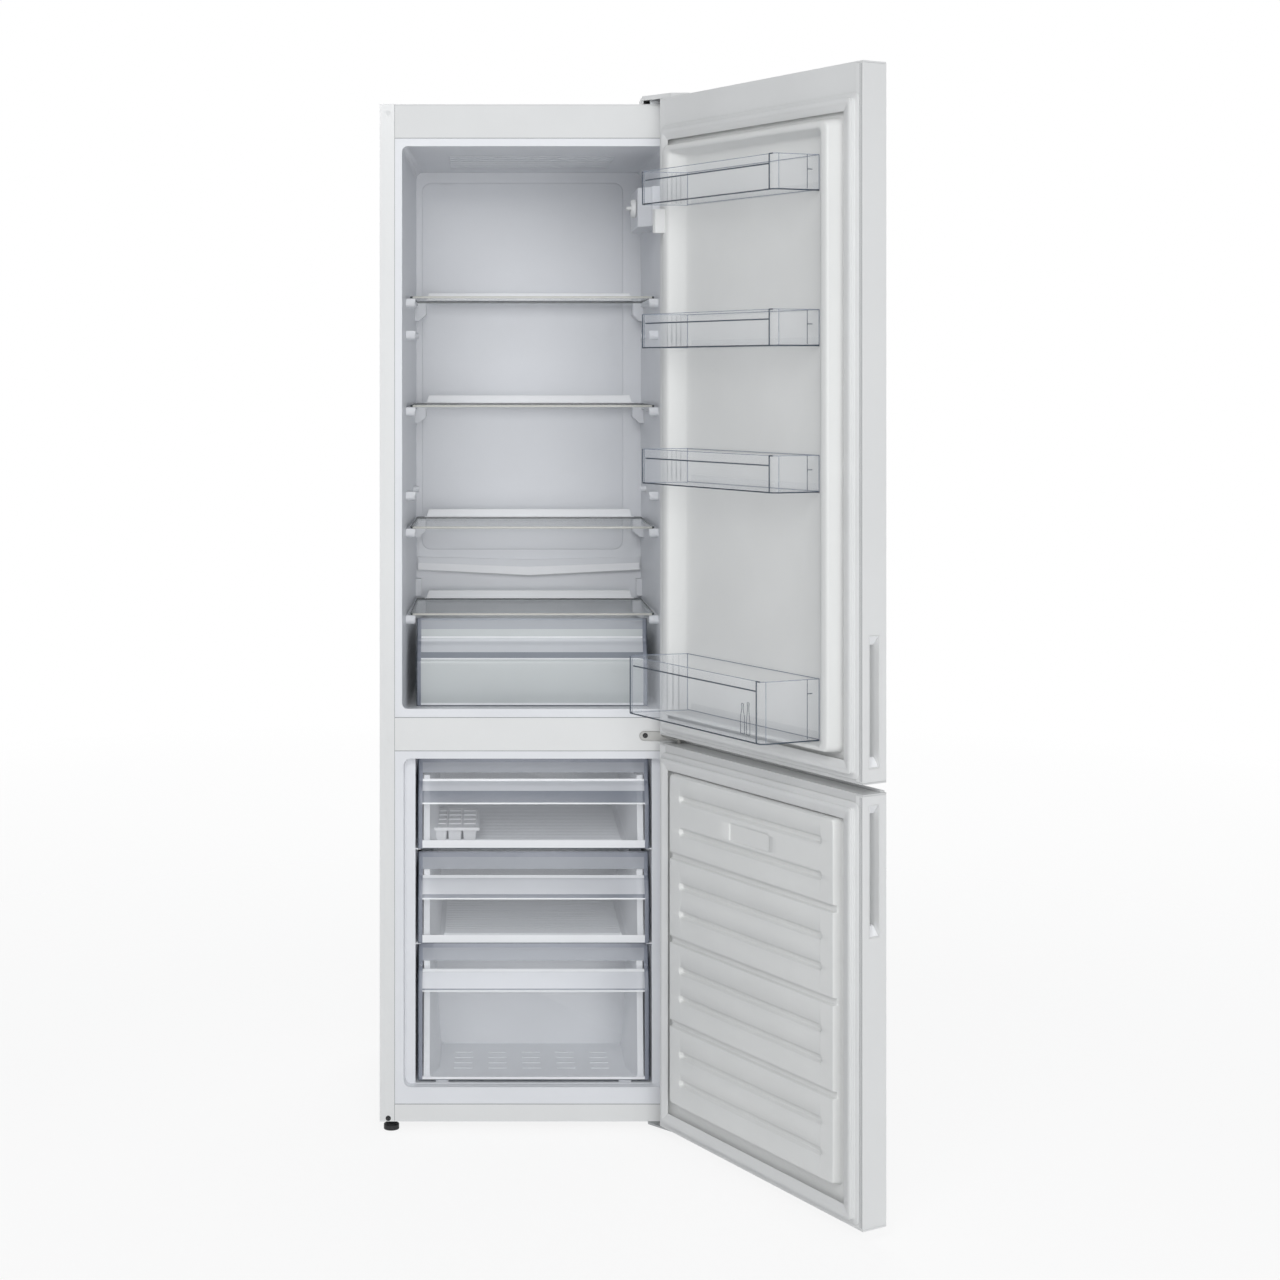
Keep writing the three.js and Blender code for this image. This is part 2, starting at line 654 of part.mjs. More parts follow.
// Points along a drawer front's outside: upright plate, ledge to pull at, set-back upper band.
function frontProfile(y, low, high) {
  const thickness = 2.5;
  const outside = [[y, low], [y, high - 78], [y + 16, high - 48], [y + 24, high - 42], [y + 24, high]];
  const inside = outside.map(([a, b]) => [a + thickness, b]).reverse();
  return [...outside, ...inside];
}

// An open box with a shaped front. Its side walls end below the front's top edge.
function drawer(half, y, low, high, length) {
  const wall = 2.2;
  const sideHigh = high - 32;
  const box = block([-half, half], [y + 0.5, y + length], [low, sideHigh]);
  const hollow = block([wall - half, half - wall], [y - 5, y + length - wall], [low + wall, high]);
  const walls = cut(box, hollow, block([-half - 1, half + 1], [y - 5, y + 26], [high - 90, high + 1]));
  const cheeks = [-1, 1].map((side) => prismX(
    [[y + 1, low], [y + 30, low], [y + 30, sideHigh], [y + 24.5, sideHigh], [y + 16.5, high - 48],
      [y + 1, high - 78]],
    side > 0 ? half - wall : -half, side > 0 ? half : wall - half));
  return joined(walls, prismX(frontProfile(y, low, high), -half, half), ...cheeks);
}

const crisper = {
  half: fridgeBackHalf - 9.3, front: shelfFront + 10, low: fridgeFloor + gap, high: shelfHeights[3] - 12.7,
  length: shelfBack - shelfFront - 10,
};
const iceTray = {
  left: 21.1 - drawerHalf, right: 108.1 - drawerHalf, front: drawerFront + 34, back: drawerFront + 212,
  low: drawerPlaces[0].low + 2.6, high: drawerPlaces[0].low + 30,
};

// A rim with tapered cups, three across and four deep, and a wider lip along the back to hold it by.
function iceCubeTray() {
  const { left, right, front, back, low, high } = iceTray;
  const across = 3;
  const along = 4;
  const rim = 4;
  const wall = 1.2;
  const columnPitch = (right - left - 2 * rim) / across;
  const rowPitch = 38;
  const mouth = { x: columnPitch / 2 - 1, y: rowPitch / 2 - 1 };
  const foot = { x: mouth.x - 2.6, y: mouth.y - 3.5 };
  const parts = [block([left, right], [front, back], [high - 2, high])];
  const hollows = [];
  for (let column = 0; column < across; column += 1) {
    for (let row = 0; row < along; row += 1) {
      const x = left + rim + (column + 0.5) * columnPitch;
      const y = front + rim + (row + 0.5) * rowPitch;
      parts.push(cup(x, y, low, high - 1, mouth, foot, 0));
      hollows.push(cup(x, y, low + wall, high + 0.5, mouth, foot, wall));
    }
  }
  return cut(joined(...parts), ...hollows);
}

// A tapered cup between two heights, from its half widths at the mouth and the foot, less a wall.
function cup(x, y, low, high, mouth, foot, wall) {
  const points = [];
  for (const [half, z] of [[mouth, high], [foot, low]]) {
    for (const sx of [-1, 1]) {
      for (const sy of [-1, 1]) {
        points.push(new THREE.Vector3(x + sx * (half.x - wall), y + sy * (half.y - wall), z));
      }
    }
  }
  return hullOf(points);
}

function addShelvesAndDrawers() {
  shelfHeights.forEach((top, index) => add(fridge, `glass_shelf_${index + 1}`, shelf(top), glassGreen));
  add(fridge, 'crisper_drawer', drawer(crisper.half, crisper.front, crisper.low, crisper.high,
    crisper.length), clear);
  drawerPlaces.forEach(({ low, high, length }, index) => {
    add(fridge, `freezer_drawer_${index + 1}`, drawer(drawerHalf, drawerFront, low, high, length), clear);
  });
  add(fridge, 'ice_cube_tray', iceCubeTray(), white);
}

// --- Doors ----------------------------------------------------------------------------------

const capPlate = 2.7;
const seam = 16.5;
const grip = { front: doorFront + 13, back: doorBack - 11.5, deep: 28, wall: 1.5 };
const dishFloorHalf = halfWidth - 86;
const dishMouthHalf = halfWidth - 66;

// A steel skin bent round the front, both sides and the edges of the back.
function doorSkin({ low, high }, handleLow) {
  const hand = halfWidth - seam;
  const section = [
    [hand, doorBack], [halfWidth, doorBack], [halfWidth, doorFront], [-halfWidth, doorFront],
    [-halfWidth, doorBack], [-hand, doorBack], [-hand, doorBack - sheet], [-innerHalf, doorBack - sheet],
    [-innerHalf, doorFront + sheet], [innerHalf, doorFront + sheet], [innerHalf, doorBack - sheet],
    [hand, doorBack - sheet],
  ];
  const hole = block([-halfWidth - 1, 2 - halfWidth], [grip.front - gap, grip.back + gap],
    [handleLow - gap, handleLow + handleLength + gap]);
  return cut(prismZ(section, low + capPlate + gap, high - capPlate - gap), hole);
}

// An end cap: a plate across the door's end and a band on its back face. The hinge pin goes in its hole.
function doorCap(end, inwards, bandEnd) {
  const plate = block([-halfWidth, halfWidth], [doorFront, doorBack], [end, end + inwards * capPlate]);
  const hand = halfWidth - seam - gap;
  const band = block([-hand, hand], [doorBack - sheet, doorBack], [end + inwards, bandEnd]);
  return cut(joined(plate, band), cylinder('z', pinRadius + 0.3, 12, [pinX, pinY, end], 16));
}

function gripTray(handleLow) {
  const high = handleLow + handleLength;
  const { front, back, deep, wall } = grip;
  const outer = block([-halfWidth, deep - halfWidth], [front, back], [handleLow, high]);
  const hollow = block([-halfWidth - 1, deep - wall - halfWidth], [front + wall, back - wall],
    [handleLow + wall, high - wall]);
  return cut(outer, hollow);
}

// The ring seal: a foot on the door's back and a magnet bead that meets the cabinet's steel front. The
// bead stands back from the foot's outer edge, so that it swings clear of the cabinet.
function doorSeal(low, high) {
  const half = halfWidth - 8;
  const wide = 17;
  const lip = 8;
  const foot = block([-half, half], [doorBack + gap, doorBack + 3], [low, high]);
  const bead = block([lip - half, half - lip], [doorBack + 1, -gap], [low + lip, high - lip]);
  return cut(joined(foot, bead), block([wide - half, half - wide], [-30, 30], [low + wide, high - wide]));
}

// A raised ring with sloping sides, grown or shrunk by an inset. The bins sit inside it, and the
// bottle rack rests on the foot of its dish.
function dykeRing(inset, backY) {
  const outer = { half: halfWidth - 43, low: upperDoor.sealLow + 36, high: upperDoor.sealHigh - 35 };
  const proudY = doorBack + 30 - inset;
  const hill = hullOf([
    ...rectLoop(outer.half - inset, outer.low + inset, outer.high - inset, 12, backY, 2),
    ...rectLoop(outer.half - 6 - inset, outer.low + 2 + inset, outer.high - 6 - inset, 12, proudY, 2),
  ]);
  const mouth = { half: dishMouthHalf + inset, low: bottleRack.low - gap - 2 - inset,
    high: outer.high - 16 + inset };
  const floor = { half: dishFloorHalf + inset, low: bottleRack.low - gap - inset,
    high: outer.high - 24 + inset };
  const floorY = doorBack + 5;
  const dish = hullOf([
    ...rectLoop(mouth.half, mouth.low, mouth.high, 8, proudY + 0.5, 2),
    ...rectLoop(floor.half, floor.low, floor.high, 2, floorY, 2),
    ...rectLoop(floor.half, floor.low, floor.high, 2, floorY - inset, 2),
  ]);
  return cut(hill, dish);
}

function upperDoorLiner() {
  const { sealLow, sealHigh } = upperDoor;
  const hand = halfWidth - seam - gap;
  const plate = block([-hand, hand], [doorBack - sheet, doorBack], [sealLow, sealHigh]);
  const hill = dykeRing(0, doorBack - 0.5);
  const hollow = dykeRing(1.6, doorBack - 3);
  const lug = prismZ([[switchX - 9, 17], [switchX - 5, lugFront], [switchX + 4, lugFront], [switchX + 5, 24],
    [switchX, 10]], lampLow - 25, lampLow + 16);
  return joined(cut(joined(plate, hill), hollow), lug);
}

// Heights of the sunk bands in the lower door's panel: every third is a channel from side to side, and
// the rest are short grooves.
function sunkBands(low, high) {
  const lowest = low + 44.5;
  const topChannel = high - 140.5;
  const steps = 8;
  const bands = [{ z: topChannel + 44.5, channel: false }, { z: topChannel + 100.5, channel: false }];
  for (let step = 0; step <= steps; step += 1) {
    bands.push({ z: lowest + (topChannel - lowest) * step / steps, channel: step % 3 === 2 });
  }
  return bands;
}

// The room that a band takes out of the panel, grown by the sheet's thickness for the panel's back.
function bandRoom({ z, channel }, half, face, grow) {
  const mouth = { half: channel ? half + 4 : half - 31, tall: channel ? 6.5 : 7, corner: channel ? 1 : 6 };
  const floor = { half: mouth.half - 3, tall: channel ? 5.4 : 3.4, corner: channel ? 1 : 3 };
  return hullOf([
    ...rectLoop(mouth.half + grow, z - mouth.tall - grow, z + mouth.tall + grow, mouth.corner, face + 0.5, 2),
    ...rectLoop(floor.half + grow, z - floor.tall - grow, z + floor.tall + grow, floor.corner,
      face - 5.5 - grow, 2),
  ]);
}

// A raised panel, its edges sloping, with channels and grooves sunk in it.
function lowerDoorLiner() {
  const { sealLow, sealHigh } = lowerDoor;
  const hand = halfWidth - seam - gap;
  const half = halfWidth - 48;
  const low = sealLow + 50;
  const high = sealHigh - 28;
  const face = doorBack + 16;
  const plate = block([-hand, hand], [doorBack - sheet, doorBack], [sealLow, sealHigh]);
  const panel = (inset, back, front) => hullOf([
    ...rectLoop(half - inset, low + inset, high - inset, 6, back, 2),
    ...rectLoop(half - 3 - inset, low + 3 + inset, high - 3 - inset, 5, front, 2),
  ]);
  const bands = sunkBands(low, high);
  const behind = cut(panel(linerWall, doorBack - 4, face - linerWall),
    ...bands.map((band) => bandRoom(band, half, face, linerWall)));
  return cut(joined(plate, panel(0, doorBack - 0.5, face)), behind,
    ...bands.map((band) => bandRoom(band, half, face, 0)));
}

function doorFoam({ low, high }, handleLow) {
  const side = innerHalf - gap;
  const whole = block([-side, side], [doorFront + sheet + gap, doorBack - sheet - gap],
    [low + capPlate + 2 * gap, high - capPlate - 2 * gap]);
  const pocket = block([-halfWidth, grip.deep + gap - halfWidth], [grip.front - gap, grip.back + gap],
    [handleLow - gap, handleLow + handleLength + gap]);
  const pinRoom = (z) => cylinder('z', pinRadius + 1.5, 60, [pinX, pinY, z], 12);
  return cut(whole, pocket, pinRoom(low), pinRoom(high));
}

// A clear bin between the liner's raised sides, with a set-back band along the top of its front.
function doorBin({ low, high }, proud) {
  const back = doorBack + 6;
  const front = doorBack + proud;
  const wall = 2.4;
  const hand = dishMouthHalf;
  const free = -dishFloorHalf;
  const outer = [[dishFloorHalf - 5, back], [hand + 2, front - 8], [hand - 4, front],
    [free + 27, front], [free + 21, front - 8], [free + 10, back]];
  const inner = [[dishFloorHalf - 8, back + wall], [hand - 1, front - 8 - wall], [hand - 6, front - wall],
    [free + 29, front - wall], [free + 24, front - 8 - wall], [free + 13, back + wall]];
  const band = block([free + 36, hand - 14], [front - wall / 2, front + 1], [high - 16, high + 1]);
  return cut(prismZ(outer, low, high), prismZ(inner, low + wall, high + 1), band);
}

// A door's pieces are drawn closed, then turned open about the hinge pin.
function openDoor() {
  const turning = new THREE.Group();
  turning.position.set(pinX, pinY, 0);
  turning.rotation.z = THREE.MathUtils.degToRad(openAngle);
  const closed = new THREE.Group();
  closed.position.set(-pinX, -pinY, 0);
  turning.add(closed);
  fridge.add(turning);
  return closed;
}

function addDoor(side, place, handleLow, liner) {
  const door = openDoor();
  add(door, `${side}_door_skin`, doorSkin(place, handleLow), white);
  add(door, `${side}_door_foam`, doorFoam(place, handleLow), foamYellow);
  add(door, `${side}_door_liner`, liner, linerWhite);
  add(door, `${side}_door_seal`, doorSeal(place.sealLow, place.sealHigh), sealWhite);
  add(door, `${side}_door_top_cap`, doorCap(place.high, -1, place.sealHigh + gap), white);
  add(door, `${side}_door_bottom_cap`, doorCap(place.low, 1, place.sealLow - gap), white);
  add(door, `${side}_door_grip`, gripTray(handleLow), white);
  return door;
}

function addDoors() {
  const upper = addDoor('upper', upperDoor, upperHandleLow, upperDoorLiner());
  smallBins.forEach((place, index) => add(upper, `door_bin_${index + 1}`, doorBin(place, smallBinProud),
    clear));
  add(upper, 'bottle_rack', doorBin(bottleRack, bottleRackProud), clear);
  addDoor('lower', lowerDoor, lowerHandleLow, lowerDoorLiner());
}

addCabinet();
addMachineBay();
addFittings();
addLampUnit();
addShelvesAndDrawers();
addDoors();

// The origin is at the middle of the foot of the whole part's bounding box, with the doors open.
fridge.updateMatrixWorld(true);
const bounds = new THREE.Box3().setFromObject(fridge, true);
const middle = bounds.getCenter(new THREE.Vector3());
fridge.position.set(-middle.x, -middle.y, -bounds.min.z);
fridge.updateMatrixWorld(true);

export default fridge;
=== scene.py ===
import json
import math

import bmesh
import bpy
from mathutils import Matrix, Vector


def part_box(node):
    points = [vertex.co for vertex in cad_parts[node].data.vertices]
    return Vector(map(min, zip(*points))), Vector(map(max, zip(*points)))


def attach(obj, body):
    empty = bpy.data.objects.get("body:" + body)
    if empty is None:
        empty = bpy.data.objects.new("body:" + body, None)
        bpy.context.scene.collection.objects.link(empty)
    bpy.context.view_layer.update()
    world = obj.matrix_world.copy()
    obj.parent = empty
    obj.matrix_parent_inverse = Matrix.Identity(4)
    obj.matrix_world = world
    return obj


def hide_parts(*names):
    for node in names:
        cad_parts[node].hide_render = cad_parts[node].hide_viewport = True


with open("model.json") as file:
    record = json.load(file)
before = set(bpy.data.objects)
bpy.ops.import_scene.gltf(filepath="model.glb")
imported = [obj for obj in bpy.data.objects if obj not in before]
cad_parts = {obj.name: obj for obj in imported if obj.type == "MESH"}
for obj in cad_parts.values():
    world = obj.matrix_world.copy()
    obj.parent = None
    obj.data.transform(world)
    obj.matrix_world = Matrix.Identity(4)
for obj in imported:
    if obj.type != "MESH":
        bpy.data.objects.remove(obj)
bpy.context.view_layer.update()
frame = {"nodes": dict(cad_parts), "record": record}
nodes = frame["nodes"]
mm = 0.001

# The cabinet's own axes: its centre line, its front plane and the pin that the doors turn about. All
# drawings are in millimetres from there, and the doors' are drawn as closed.
doorPin = {"x": 251, "y": -39, "open": 120}
leftLow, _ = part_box("left_side_panel")
_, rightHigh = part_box("right_side_panel")
centreX, frontY = (leftLow.x + rightHigh.x) / 2, leftLow.y
pinPlace = Vector((centreX + doorPin["x"] * mm, frontY + doorPin["y"] * mm, 0))
fromCabinet = Matrix.Translation((centreX, frontY, 0)) @ Matrix.Scale(mm, 4)
fromDoor = (Matrix.Translation(pinPlace) @ Matrix.Rotation(math.radians(doorPin["open"]), 4, "Z")
            @ Matrix.Translation(-pinPlace) @ fromCabinet)


def placed(name, data):
    thing = bpy.data.objects.new(name, data)
    bpy.context.scene.collection.objects.link(thing)
    return thing


# Camera at the photograph's eye, level, with the frame shifted as the photograph is cropped.
view = {"eye": (-90.7, -3799, 1326.8), "lens": 60.99, "sensor": 36, "shift": (0.1234, -0.2078), "far": 60}
cameraData = bpy.data.cameras.new("photoView")
cameraData.lens, cameraData.sensor_width, cameraData.clip_end = view["lens"], view["sensor"], view["far"]
cameraData.shift_x, cameraData.shift_y = view["shift"]
camera = placed("photoView", cameraData)
camera.location = fromCabinet @ Vector(view["eye"])
camera.rotation_euler = (math.radians(90), 0, 0)
bpy.context.scene.camera = camera
print("camera done")


# Materials. Each is a set of values and one function that builds its nodes.
def tint(color):
    parts = [part / 255 for part in color]
    return tuple(c / 12.92 if c <= 0.04045 else ((c + 0.055) / 1.055) ** 2.4 for c in parts) + (1.0,)


def addNode(tree, kind, sockets=(), **values):
    node = tree.nodes.new(kind)
    for key, value in values.items():
        setattr(node, key, value)
    for key, value in dict(sockets).items():
        node.inputs[key].default_value = value
    return node


# Each row is a node, its output, the node it leads to and that node's input.
def wire(tree, *rows):
    for source, output, target, socket in rows:
        tree.links.new(source.outputs[output], target.inputs[socket])


# What a look has where its own row says nothing else.
usual = {"metal": 0.0, "ior": 1.47, "gloss": 0.5, "coat": 0.0, "coatRough": 0.12, "alpha": 1.0, "spread": 3,
         "stretch": (1, 1, 1), "cloud": 5, "cloudEnds": (0.3, 0.7), "roughEnds": (0.88, 1.12), "grain": 900,
         "bump": 0.12, "depth": 0.0004, "rimBlend": 0.28}
plainSockets = {"Metallic": "metal", "IOR": "ior", "Specular IOR Level": "gloss", "Coat Weight": "coat",
                "Coat Roughness": "coatRough", "Alpha": "alpha"}


# Shader with cloudy colour, uneven gloss and a fine moulded or rolled texture.
def surface(name, own):
    look = {**usual, **own}
    material = bpy.data.materials.new(name)
    material.use_nodes = True
    tree = material.node_tree
    shader = tree.nodes["Principled BSDF"]
    for socket, key in plainSockets.items():
        shader.inputs[socket].default_value = look[key]
    place = addNode(tree, "ShaderNodeTexCoord")
    stretch = addNode(tree, "ShaderNodeMapping", {"Scale": look["stretch"]})
    cloud = addNode(tree, "ShaderNodeTexNoise", {"Scale": look["cloud"], "Detail": 4})
    shade = addNode(tree, "ShaderNodeValToRGB")
    for end, position, way in zip(shade.color_ramp.elements, look["cloudEnds"], (-1, 1)):
        end.position = position
        end.color = tint([min(255, part + way * look["spread"]) for part in look["color"]])
    low, high = (look["rough"] * end for end in look["roughEnds"])
    rough = addNode(tree, "ShaderNodeMapRange", {"To Min": low, "To Max": high})
    fine = addNode(tree, "ShaderNodeTexNoise", {"Scale": look["grain"], "Detail": 2})
    relief = addNode(tree, "ShaderNodeBump", {"Strength": look["bump"], "Distance": look["depth"]})
    wire(tree, (place, "Object", stretch, "Vector"), (stretch, "Vector", cloud, "Vector"),
         (cloud, "Fac", shade, "Fac"), (shade, "Color", shader, "Base Color"), (cloud, "Fac", rough, "Value"),
         (rough, "Result", shader, "Roughness"), (stretch, "Vector", fine, "Vector"),
         (fine, "Fac", relief, "Height"), (relief, "Normal", shader, "Normal"))
    if "rim" in look:
        # A clear wall is seen more where it turns away.
        turned = addNode(tree, "ShaderNodeLayerWeight", {"Blend": look["rimBlend"]})
        thick = addNode(tree, "ShaderNodeMapRange", {"To Min": look["alpha"], "To Max": look["rim"]})
        wire(tree, (turned, "Facing", thick, "Value"), (thick, "Result", shader, "Alpha"))
    return material


clearSheet = {"rough": 0.14, "grain": 420, "bump": 0.04}
clearCorner = {"rough": 0.16, "grain": 500, "bump": 0.03}
looks = {
    "paintedSteel": {"color": (222, 223, 223), "rough": 0.34, "grain": 420, "bump": 0.16, "coat": 0.25,
                     "spread": 1.5},
    "whitePlastic": {"color": (222, 223, 223), "rough": 0.5, "grain": 1100, "bump": 0.1, "gloss": 0.25},
    "backBoard": {"color": (196, 198, 198), "rough": 0.5, "grain": 260, "bump": 0.2, "spread": 5},
    "linerPlastic": {"color": (223, 225, 229), "rough": 0.4, "grain": 700, "bump": 0.08, "coat": 0.15},
    "doorPlastic": {"color": (221, 222, 221), "rough": 0.42, "grain": 700, "bump": 0.1, "coat": 0.1},
    "lampPlastic": {"color": (224, 226, 230), "rough": 0.36, "bump": 0.08},
    # Painted shade: the caps between the doors are a darker white than the other white plastics.
    "capPlastic": {"color": (208, 209, 209), "rough": 0.7, "grain": 1100, "bump": 0.1, "gloss": 0.1},
    # A whiter plastic; on the melt channel, the grip slopes and the ice tray part of its lightness is painted
    # light.
    "brightPlastic": {"color": (243, 244, 246), "rough": 0.4, "grain": 1100, "bump": 0.08},
    "gripPlastic": {"color": (222, 223, 223), "rough": 0.5, "grain": 1300, "bump": 0.2},
    "sealRubber": {"color": (220, 221, 221), "rough": 0.66, "grain": 1500, "bump": 0.2, "gloss": 0.25},
    "foam": {"color": (214, 200, 148), "rough": 0.92, "grain": 320, "bump": 0.6, "spread": 12},
    "clearPlastic": {"color": (234, 239, 247), "rough": 0.1, "grain": 500, "bump": 0.03, "alpha": 0.05,
                     "rim": 0.14},
    "clearDrawer": {**clearSheet, "color": (216, 220, 228), "alpha": 0.05, "rim": 0.22},
    "clearMist": {**clearSheet, "color": (228, 231, 237), "alpha": 0.1},
    "clearMargin": {**clearSheet, "color": (196, 201, 216), "alpha": 0.4},
    # The next four looks are painted light on the drawer fronts: a dark band and a greyer head band of
    # painted shade, a pale band of painted reflection, and bright lines of painted highlight.
    "clearShade": {**clearSheet, "color": (136, 143, 156), "alpha": 0.6},
    "clearHead": {**clearSheet, "color": (186, 190, 198), "alpha": 0.62},
    "clearPale": {**clearSheet, "color": (226, 229, 235), "alpha": 0.6},
    "clearBright": {"color": (240, 242, 245), "rough": 0.14, "grain": 500, "bump": 0.03, "alpha": 0.9},
    # The next two looks are dark lines of painted shade, along clear plastic's edges and in the gaps under
    # the drawer fronts.
    "clearEdge": {**clearCorner, "color": (74, 84, 96), "alpha": 0.88},
    "clearRim": {**clearCorner, "color": (146, 156, 172), "alpha": 0.6},
    "milkyFront": {"color": (222, 227, 228), "rough": 0.2, "grain": 420, "bump": 0.05, "alpha": 0.6},
    "drawerTub": {"color": (235, 237, 240), "rough": 0.36, "grain": 600, "bump": 0.08},
    "frostedTub": {"color": (222, 226, 227), "rough": 0.3, "grain": 600, "bump": 0.08, "alpha": 0.8},
    "shelfGlass": {"color": (196, 204, 206), "rough": 0.05, "grain": 60, "bump": 0.01, "alpha": 0.06,
                   "rim": 0.2},
    "glassFront": {"color": (196, 196, 190), "rough": 0.2, "grain": 200, "bump": 0.05, "alpha": 0.95},
    "glassEdge": {"color": (74, 80, 80), "rough": 0.18, "grain": 200, "bump": 0.05, "alpha": 0.9},
    "blackPlastic": {"color": (26, 26, 28), "rough": 0.55, "grain": 1200, "bump": 0.3},
    "blackRubber": {"color": (30, 30, 31), "rough": 0.78, "bump": 0.35},
    "seamShadow": {"color": (128, 130, 133), "rough": 0.7, "bump": 0.1},
    "hingeSteel": {"color": (158, 158, 156), "rough": 0.42, "metal": 0.5, "grain": 800, "bump": 0.14},
    "zincSteel": {"color": (160, 162, 164), "rough": 0.36, "metal": 0.9, "grain": 700, "bump": 0.14,
                  "stretch": (1, 1, 0.12), "spread": 8},
    "blackSteel": {"color": (30, 31, 33), "rough": 0.42, "grain": 600, "bump": 0.2},
    "copper": {"color": (178, 124, 100), "rough": 0.34, "metal": 1.0, "grain": 500, "spread": 10},
    "aluminium": {"color": (190, 192, 194), "rough": 0.34, "metal": 1.0, "grain": 500},
}
materials = {name: surface(name, look) for name, look in looks.items()}

# A CAD node has the look of its slot, which is the slot's name but for these slots and nodes.
otherLook = {"seal": "sealRubber", "insulation": "foam", "wheel_rubber": "blackRubber",
             "evaporator_aluminium": "aluminium", "lower_door_top_cap": "capPlastic",
             "upper_door_bottom_cap": "capPlastic"}
for part in frame["record"]["subparts"]:
    first, *rest = part["material_slot"].split("_")
    slotLook = otherLook.get(part["material_slot"], first + "".join(word.title() for word in rest))
    node = nodes[part["node"]]
    node.data.materials.clear()
    node.data.materials.append(materials[otherLook.get(part["node"], slotLook)])
print("materials done")


def bevel(piece, radius, segments, angle):
    soften = piece.modifiers.new("soften", "BEVEL")
    soften.width, soften.segments = radius * mm, segments
    soften.limit_method, soften.angle_limit = "ANGLE", math.radians(angle)


# Every moulded or folded edge of a CAD node is softened by its own small radius.
edgeRadius = {
    1.2: "upper_door_top_cap upper_door_bottom_cap lower_door_top_cap lower_door_bottom_cap",
    1.1: "upper_door_skin lower_door_skin", 3: "lamp_housing", 0.7: "top_hinge_cover", 0.6: "top_cover",
    0.5: "fridge_liner freezer_liner drip_tray lamp_switch", 0.4: "top_hinge bottom_hinge compressor_tray",
    0.35: "upper_door_grip lower_door_grip",
    0.3: "left_side_panel right_side_panel top_front_panel middle_crossbar base_crossbar",
}
for radius, nodeNames in edgeRadius.items():
    for nodeName in nodeNames.split():
        bevel(nodes[nodeName], radius, 2, 35)
print("edges done")


# Building blocks. Every piece is drawn in millimetres, then put in its place in the frame.
# Outline of a rectangle with round corners, as pairs.
def rounded(half, low, high, corner, steps=4, middle=0.0):
    points = []
    corner = max(0.01, min(corner, half, (high - low) / 2))
    for quarter, (x, z) in enumerate([(half - corner, high - corner), (corner - half, high - corner),
                                      (corner - half, low + corner), (half - corner, low + corner)]):
        for step in range(steps + 1):
            angle = (quarter + step / steps) * math.pi / 2
            points.append((middle + x + corner * math.cos(angle), z + corner * math.sin(angle)))
    return points


# A closed outline moved inwards all round, with mitred corners.
def inset(points, distance):
    turn = sum(a[0] * b[1] - b[0] * a[1] for a, b in zip(points, points[1:] + points[:1]))
    sign = 1 if turn > 0 else -1
    moved = []
    for index, here in enumerate(points):
        before, after = points[index - 1], points[(index + 1) % len(points)]
        first = Vector((here[0] - before[0], here[1] - before[1])).normalized()
        second = Vector((after[0] - here[0], after[1] - here[1])).normalized()
        inward = Vector((-first.y - second.y, first.x + second.x)) * sign
        reach = inward.length_squared
        push = inward * (2 * distance / reach) if reach > 1e-6 else Vector((0, 0))
        moved.append((here[0] + push.x, here[1] + push.y))
    return moved


# An outline's pairs set in a level, an upright or a cross plane.
def flat(points, z):
    return [Vector((x, y, z)) for x, y in points]


def upright(points, y):
    return [Vector((x, y, z)) for x, z in points]


def cross(points, x):
    return [Vector((x, y, z)) for y, z in points]


# Skin over outlines of equal count. finish is a material index or a rule (ring, side). Like the next two,
# it draws in the given grid or in a new one.
def loft(rings, grid=None, looped=False, caps=True, finish=0):
    grid = bmesh.new() if grid is None else grid
    rows = [[grid.verts.new(point) for point in ring] for ring in rings]
    pairs = list(zip(rows, rows[1:] + rows[:1])) if looped else list(zip(rows, rows[1:]))
    for step, (one, two) in enumerate(pairs):
        for side in range(len(one)):
            after = (side + 1) % len(one)
            face = grid.faces.new((one[side], one[after], two[after], two[side]))
            face.material_index = finish(step, side) if callable(finish) else finish
    if caps and not looped:
        grid.faces.new(rows[0])
        grid.faces.new(rows[-1])
    return grid


# Blocks by their ranges.
def bars(blocks, grid=None):
    for x, y, z in blocks:
        outline = [(x[0], y[0]), (x[1], y[0]), (x[1], y[1]), (x[0], y[1])]
        grid = loft([flat(outline, z[0]), flat(outline, z[1])], grid)
    return grid


# A turned shape: profile is pairs of radius and distance along the axis.
def spun(profile, centre, axis, steps, grid=None, looped=False):
    turn = {"z": Matrix.Identity(3), "x": Matrix.Rotation(math.radians(90), 3, "Y"),
            "y": Matrix.Rotation(math.radians(90), 3, "X")}[axis]
    angles = [2 * math.pi * step / steps for step in range(steps)]
    rings = [[turn @ Vector((radius * math.cos(a), radius * math.sin(a), along)) + Vector(centre)
              for a in angles] for radius, along in profile]
    return loft(rings, grid, looped)


# A geometry tree with the given inputs, from its start to its end: real mesh in one finish.
def newTree(name, **kinds):
    tree = bpy.data.node_groups.new(name, "GeometryNodeTree")
    for label, kind in {"Geometry": "Geometry", **kinds, "finish": "Material"}.items():
        tree.interface.new_socket(label, in_out="INPUT", socket_type="NodeSocket" + kind)
    tree.interface.new_socket("Geometry", in_out="OUTPUT", socket_type="NodeSocketGeometry")
    given = addNode(tree, "NodeGroupInput")
    real = addNode(tree, "GeometryNodeRealizeInstances")
    paint = addNode(tree, "GeometryNodeSetMaterial")
    result = addNode(tree, "NodeGroupOutput")
    wire(tree, (real, "Geometry", paint, "Geometry"), (given, "finish", paint, "Material"),
         (paint, "Geometry", result, 0))
    return tree, given, real


